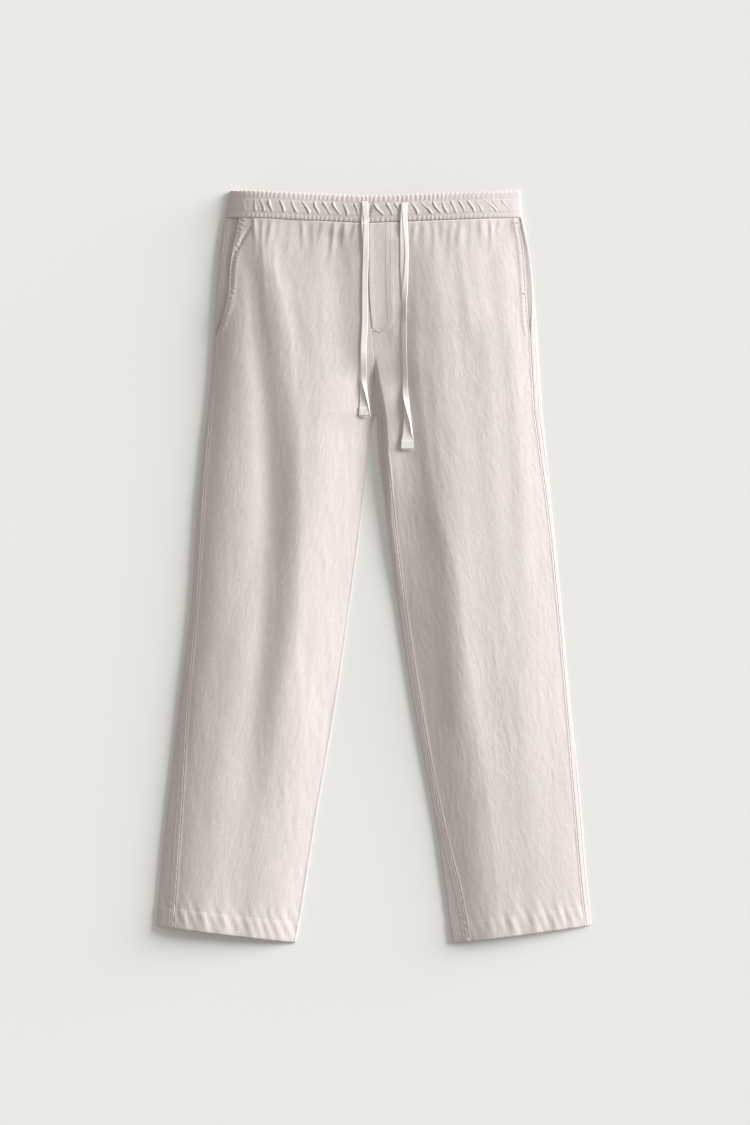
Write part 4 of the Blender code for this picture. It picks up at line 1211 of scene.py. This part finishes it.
def folded_tape(shown, turn, opened):
    """A row across the folded tape, from its middle: one half lies flat and the other is folded over it."""
    base_wide = min(shown, TAPE_WIDE)
    bend = math.pi * (0.985 - 0.72 * np.clip(opened, 0, 1))
    past = np.maximum(TAPE_ARCS - base_wide, 0)
    turning = np.minimum(past / FOLD_ARC, 1) * bend
    straight = np.maximum(past - FOLD_ARC, 0)
    radius = FOLD_ARC / bend
    wide = np.minimum(TAPE_ARCS, base_wide) - base_wide / 2
    wide = wide + radius * np.sin(turning) + straight * math.cos(bend)
    high = radius * (1 - np.cos(turning)) + straight * math.sin(bend)
    lean = math.radians(turn)
    across = wide * math.cos(lean) - high * math.sin(lean)
    up = (wide * math.sin(lean) + high * math.cos(lean)) * TAPE_FLATNESS
    return across * min(shown / max(np.ptp(across), 1.0), 1.15), up


def tape_panel(route, height):
    """The folded tape as a grid that lies on the cloth, and the points that it follows."""
    knots = np.linspace(0, 1, len(route))
    curves = [curve_through(knots, values) for values in zip(*route)]
    rows, middles = [], []
    for share in np.linspace(0, 1, TAPE_ROWS):
        x, y, shown, turn, opened = (float(curve(share)) for curve in curves)
        across, up = folded_tape(shown, turn, opened)
        xs = x + across
        base = max(height(at, y) - rise for at, rise in zip(xs[::3], up[::3])) + 0.5
        rows.append(np.stack([xs, np.full(len(xs), y), base + up], axis=-1))
        middles.append((x, y, base + up.mean()))
    grid, middles = np.array(rows), np.array(middles)
    for _ in range(6):
        smooth = grid[:, :, 2].copy()
        smooth[1:-1] = (grid[:-2, :, 2] + 2 * grid[1:-1, :, 2] + grid[2:, :, 2]) / 4
        grid[:, :, 2] = np.maximum(smooth, grid[:, :, 2] - 0.03)
    from_end = lengths_along(middles)[-1] - lengths_along(middles)
    grid[:, :, 2] += 0.7 * smooth_step(END_BAND + 0.5, END_BAND - 0.5, from_end)[:, None]
    return finished_panel(grid), middles


def make_tape(name, node, route, height, material):
    panel, middles = tape_panel(route, height)
    piece = cloth_piece(name, panel, TAPE_THICK, material)
    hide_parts(node)
    return panel


def tape_end_sewing(panel, seed):
    """Rows of stitches across the end band of a tape, and the frayed threads beyond it."""
    sewing = Sewing()
    random = np.random.default_rng(seed)
    middle, last = len(TAPE_ARCS) // 2, len(TAPE_ARCS) - 2
    runs = lengths_along(panel.points[:, middle])
    for inset in END_ROWS:
        row = np.interp(runs[-1] - inset, runs, np.arange(len(runs)))
        sewing.row(*on_panel(panel, row, np.linspace(1, last, 40)), pitch=2.2, length=1.8)
    columns = random.uniform(0.5, last + 0.5, FRAYED_THREADS)
    edge, ups = on_panel(panel, len(runs) - 1.02, columns)
    spreads = ((-1.6, 1.6), (-3.2, -0.6), (-0.4, 0.2))
    reach = np.stack([random.uniform(low, high, FRAYED_THREADS) for low, high in spreads], axis=-1)
    sewing.groups.append(stitches_between(edge, edge + reach, ups, thick=0.4))
    return sewing


# ---------------- everything together
# Each panel of cloth: its piece, the node that it stands for, its wall, the width and length of its pattern
# piece in millimetres and its area in square metres, and what it rests on.
Cut = namedtuple("Cut", "piece node wall width length area rests_on")
CUTS = table(
    Cut,
    ("right_back_linen", "back_right", CLOTH, 310, 1000, 0.245, "studio_floor"),
    ("left_back_linen", "back_left", CLOTH, 310, 1000, 0.245, "studio_floor"),
    ("right_front_linen", "front_right", CLOTH, 250, 980, 0.205, "right_back_linen"),
    ("left_front_linen", "front_left", CLOTH, 250, 980, 0.205, "left_back_linen"),
    ("ruched_waistband", "waistband", BAND_WALL, 830, 37, 0.0305, "studio_floor"),
    ("lapped_fly", "fly", FLY_LIFT * 0.8, 38, 156, 0.0056, "left_front_linen"),
    ("right_pocket_facing_linen", "pocket_facing_right", CLOTH, 32, 163, 0.0042, "right_back_linen"),
    ("left_pocket_facing_linen", "pocket_facing_left", CLOTH, 22, 163, 0.0030, "left_back_linen"),
)


def make_cut(cut, panel, material):
    """A panel as the piece of cloth that replaces its node."""
    piece = cloth_piece(cut.piece, panel, cut.wall, material, ring=cut.node == "waistband")
    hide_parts(cut.node)
    return piece


def main():
    make_camera()
    make_studio()
    linen, tape, thread = woven_linen(), herringbone_tape(), sewing_thread()

    panels = {"waistband": band_panel()}
    for side, leg in (("right", RIGHT), ("left", LEFT)):
        panels["front_" + side] = front_panel(leg)
        panels["back_" + side] = back_panel(leg)
        panels["pocket_facing_" + side] = facing_panel(leg)
    panels["fly"] = fly_panel(panels["front_left"])
    pieces = {cut.node: make_cut(cut, panels[cut.node], linen) for cut in CUTS}

    for side in ("right", "left"):
        front, back = panels["front_" + side], panels["back_" + side]
        leg_sewing(front, back).finish(f"{side}_leg_stitching", thread, "linen_cotton")
        pocket_sewing(front).finish(f"{side}_pocket_stitching", thread, "linen_cotton")
    band_sewing(panels["waistband"]).finish("waistband_stitching", thread, "linen_cotton")
    fly_sewing(panels["fly"], panels["front_left"]).finish("fly_stitching", thread, "linen_cotton")

    height = highest_below([pieces[node] for node in ("waistband", "front_right", "front_left", "fly")])
    right_tape = make_tape("right_drawstring_tape", "drawstring_right", RIGHT_TAPE, height, tape)
    left_tape = make_tape("left_drawstring_tape", "drawstring_left", LEFT_TAPE, height, tape)
    tape_end_sewing(right_tape, seed=3).finish("right_tape_end_stitching", tape, "drawstring_tape")
    tape_end_sewing(left_tape, seed=4).finish("left_tape_end_stitching", tape, "drawstring_tape")


main()
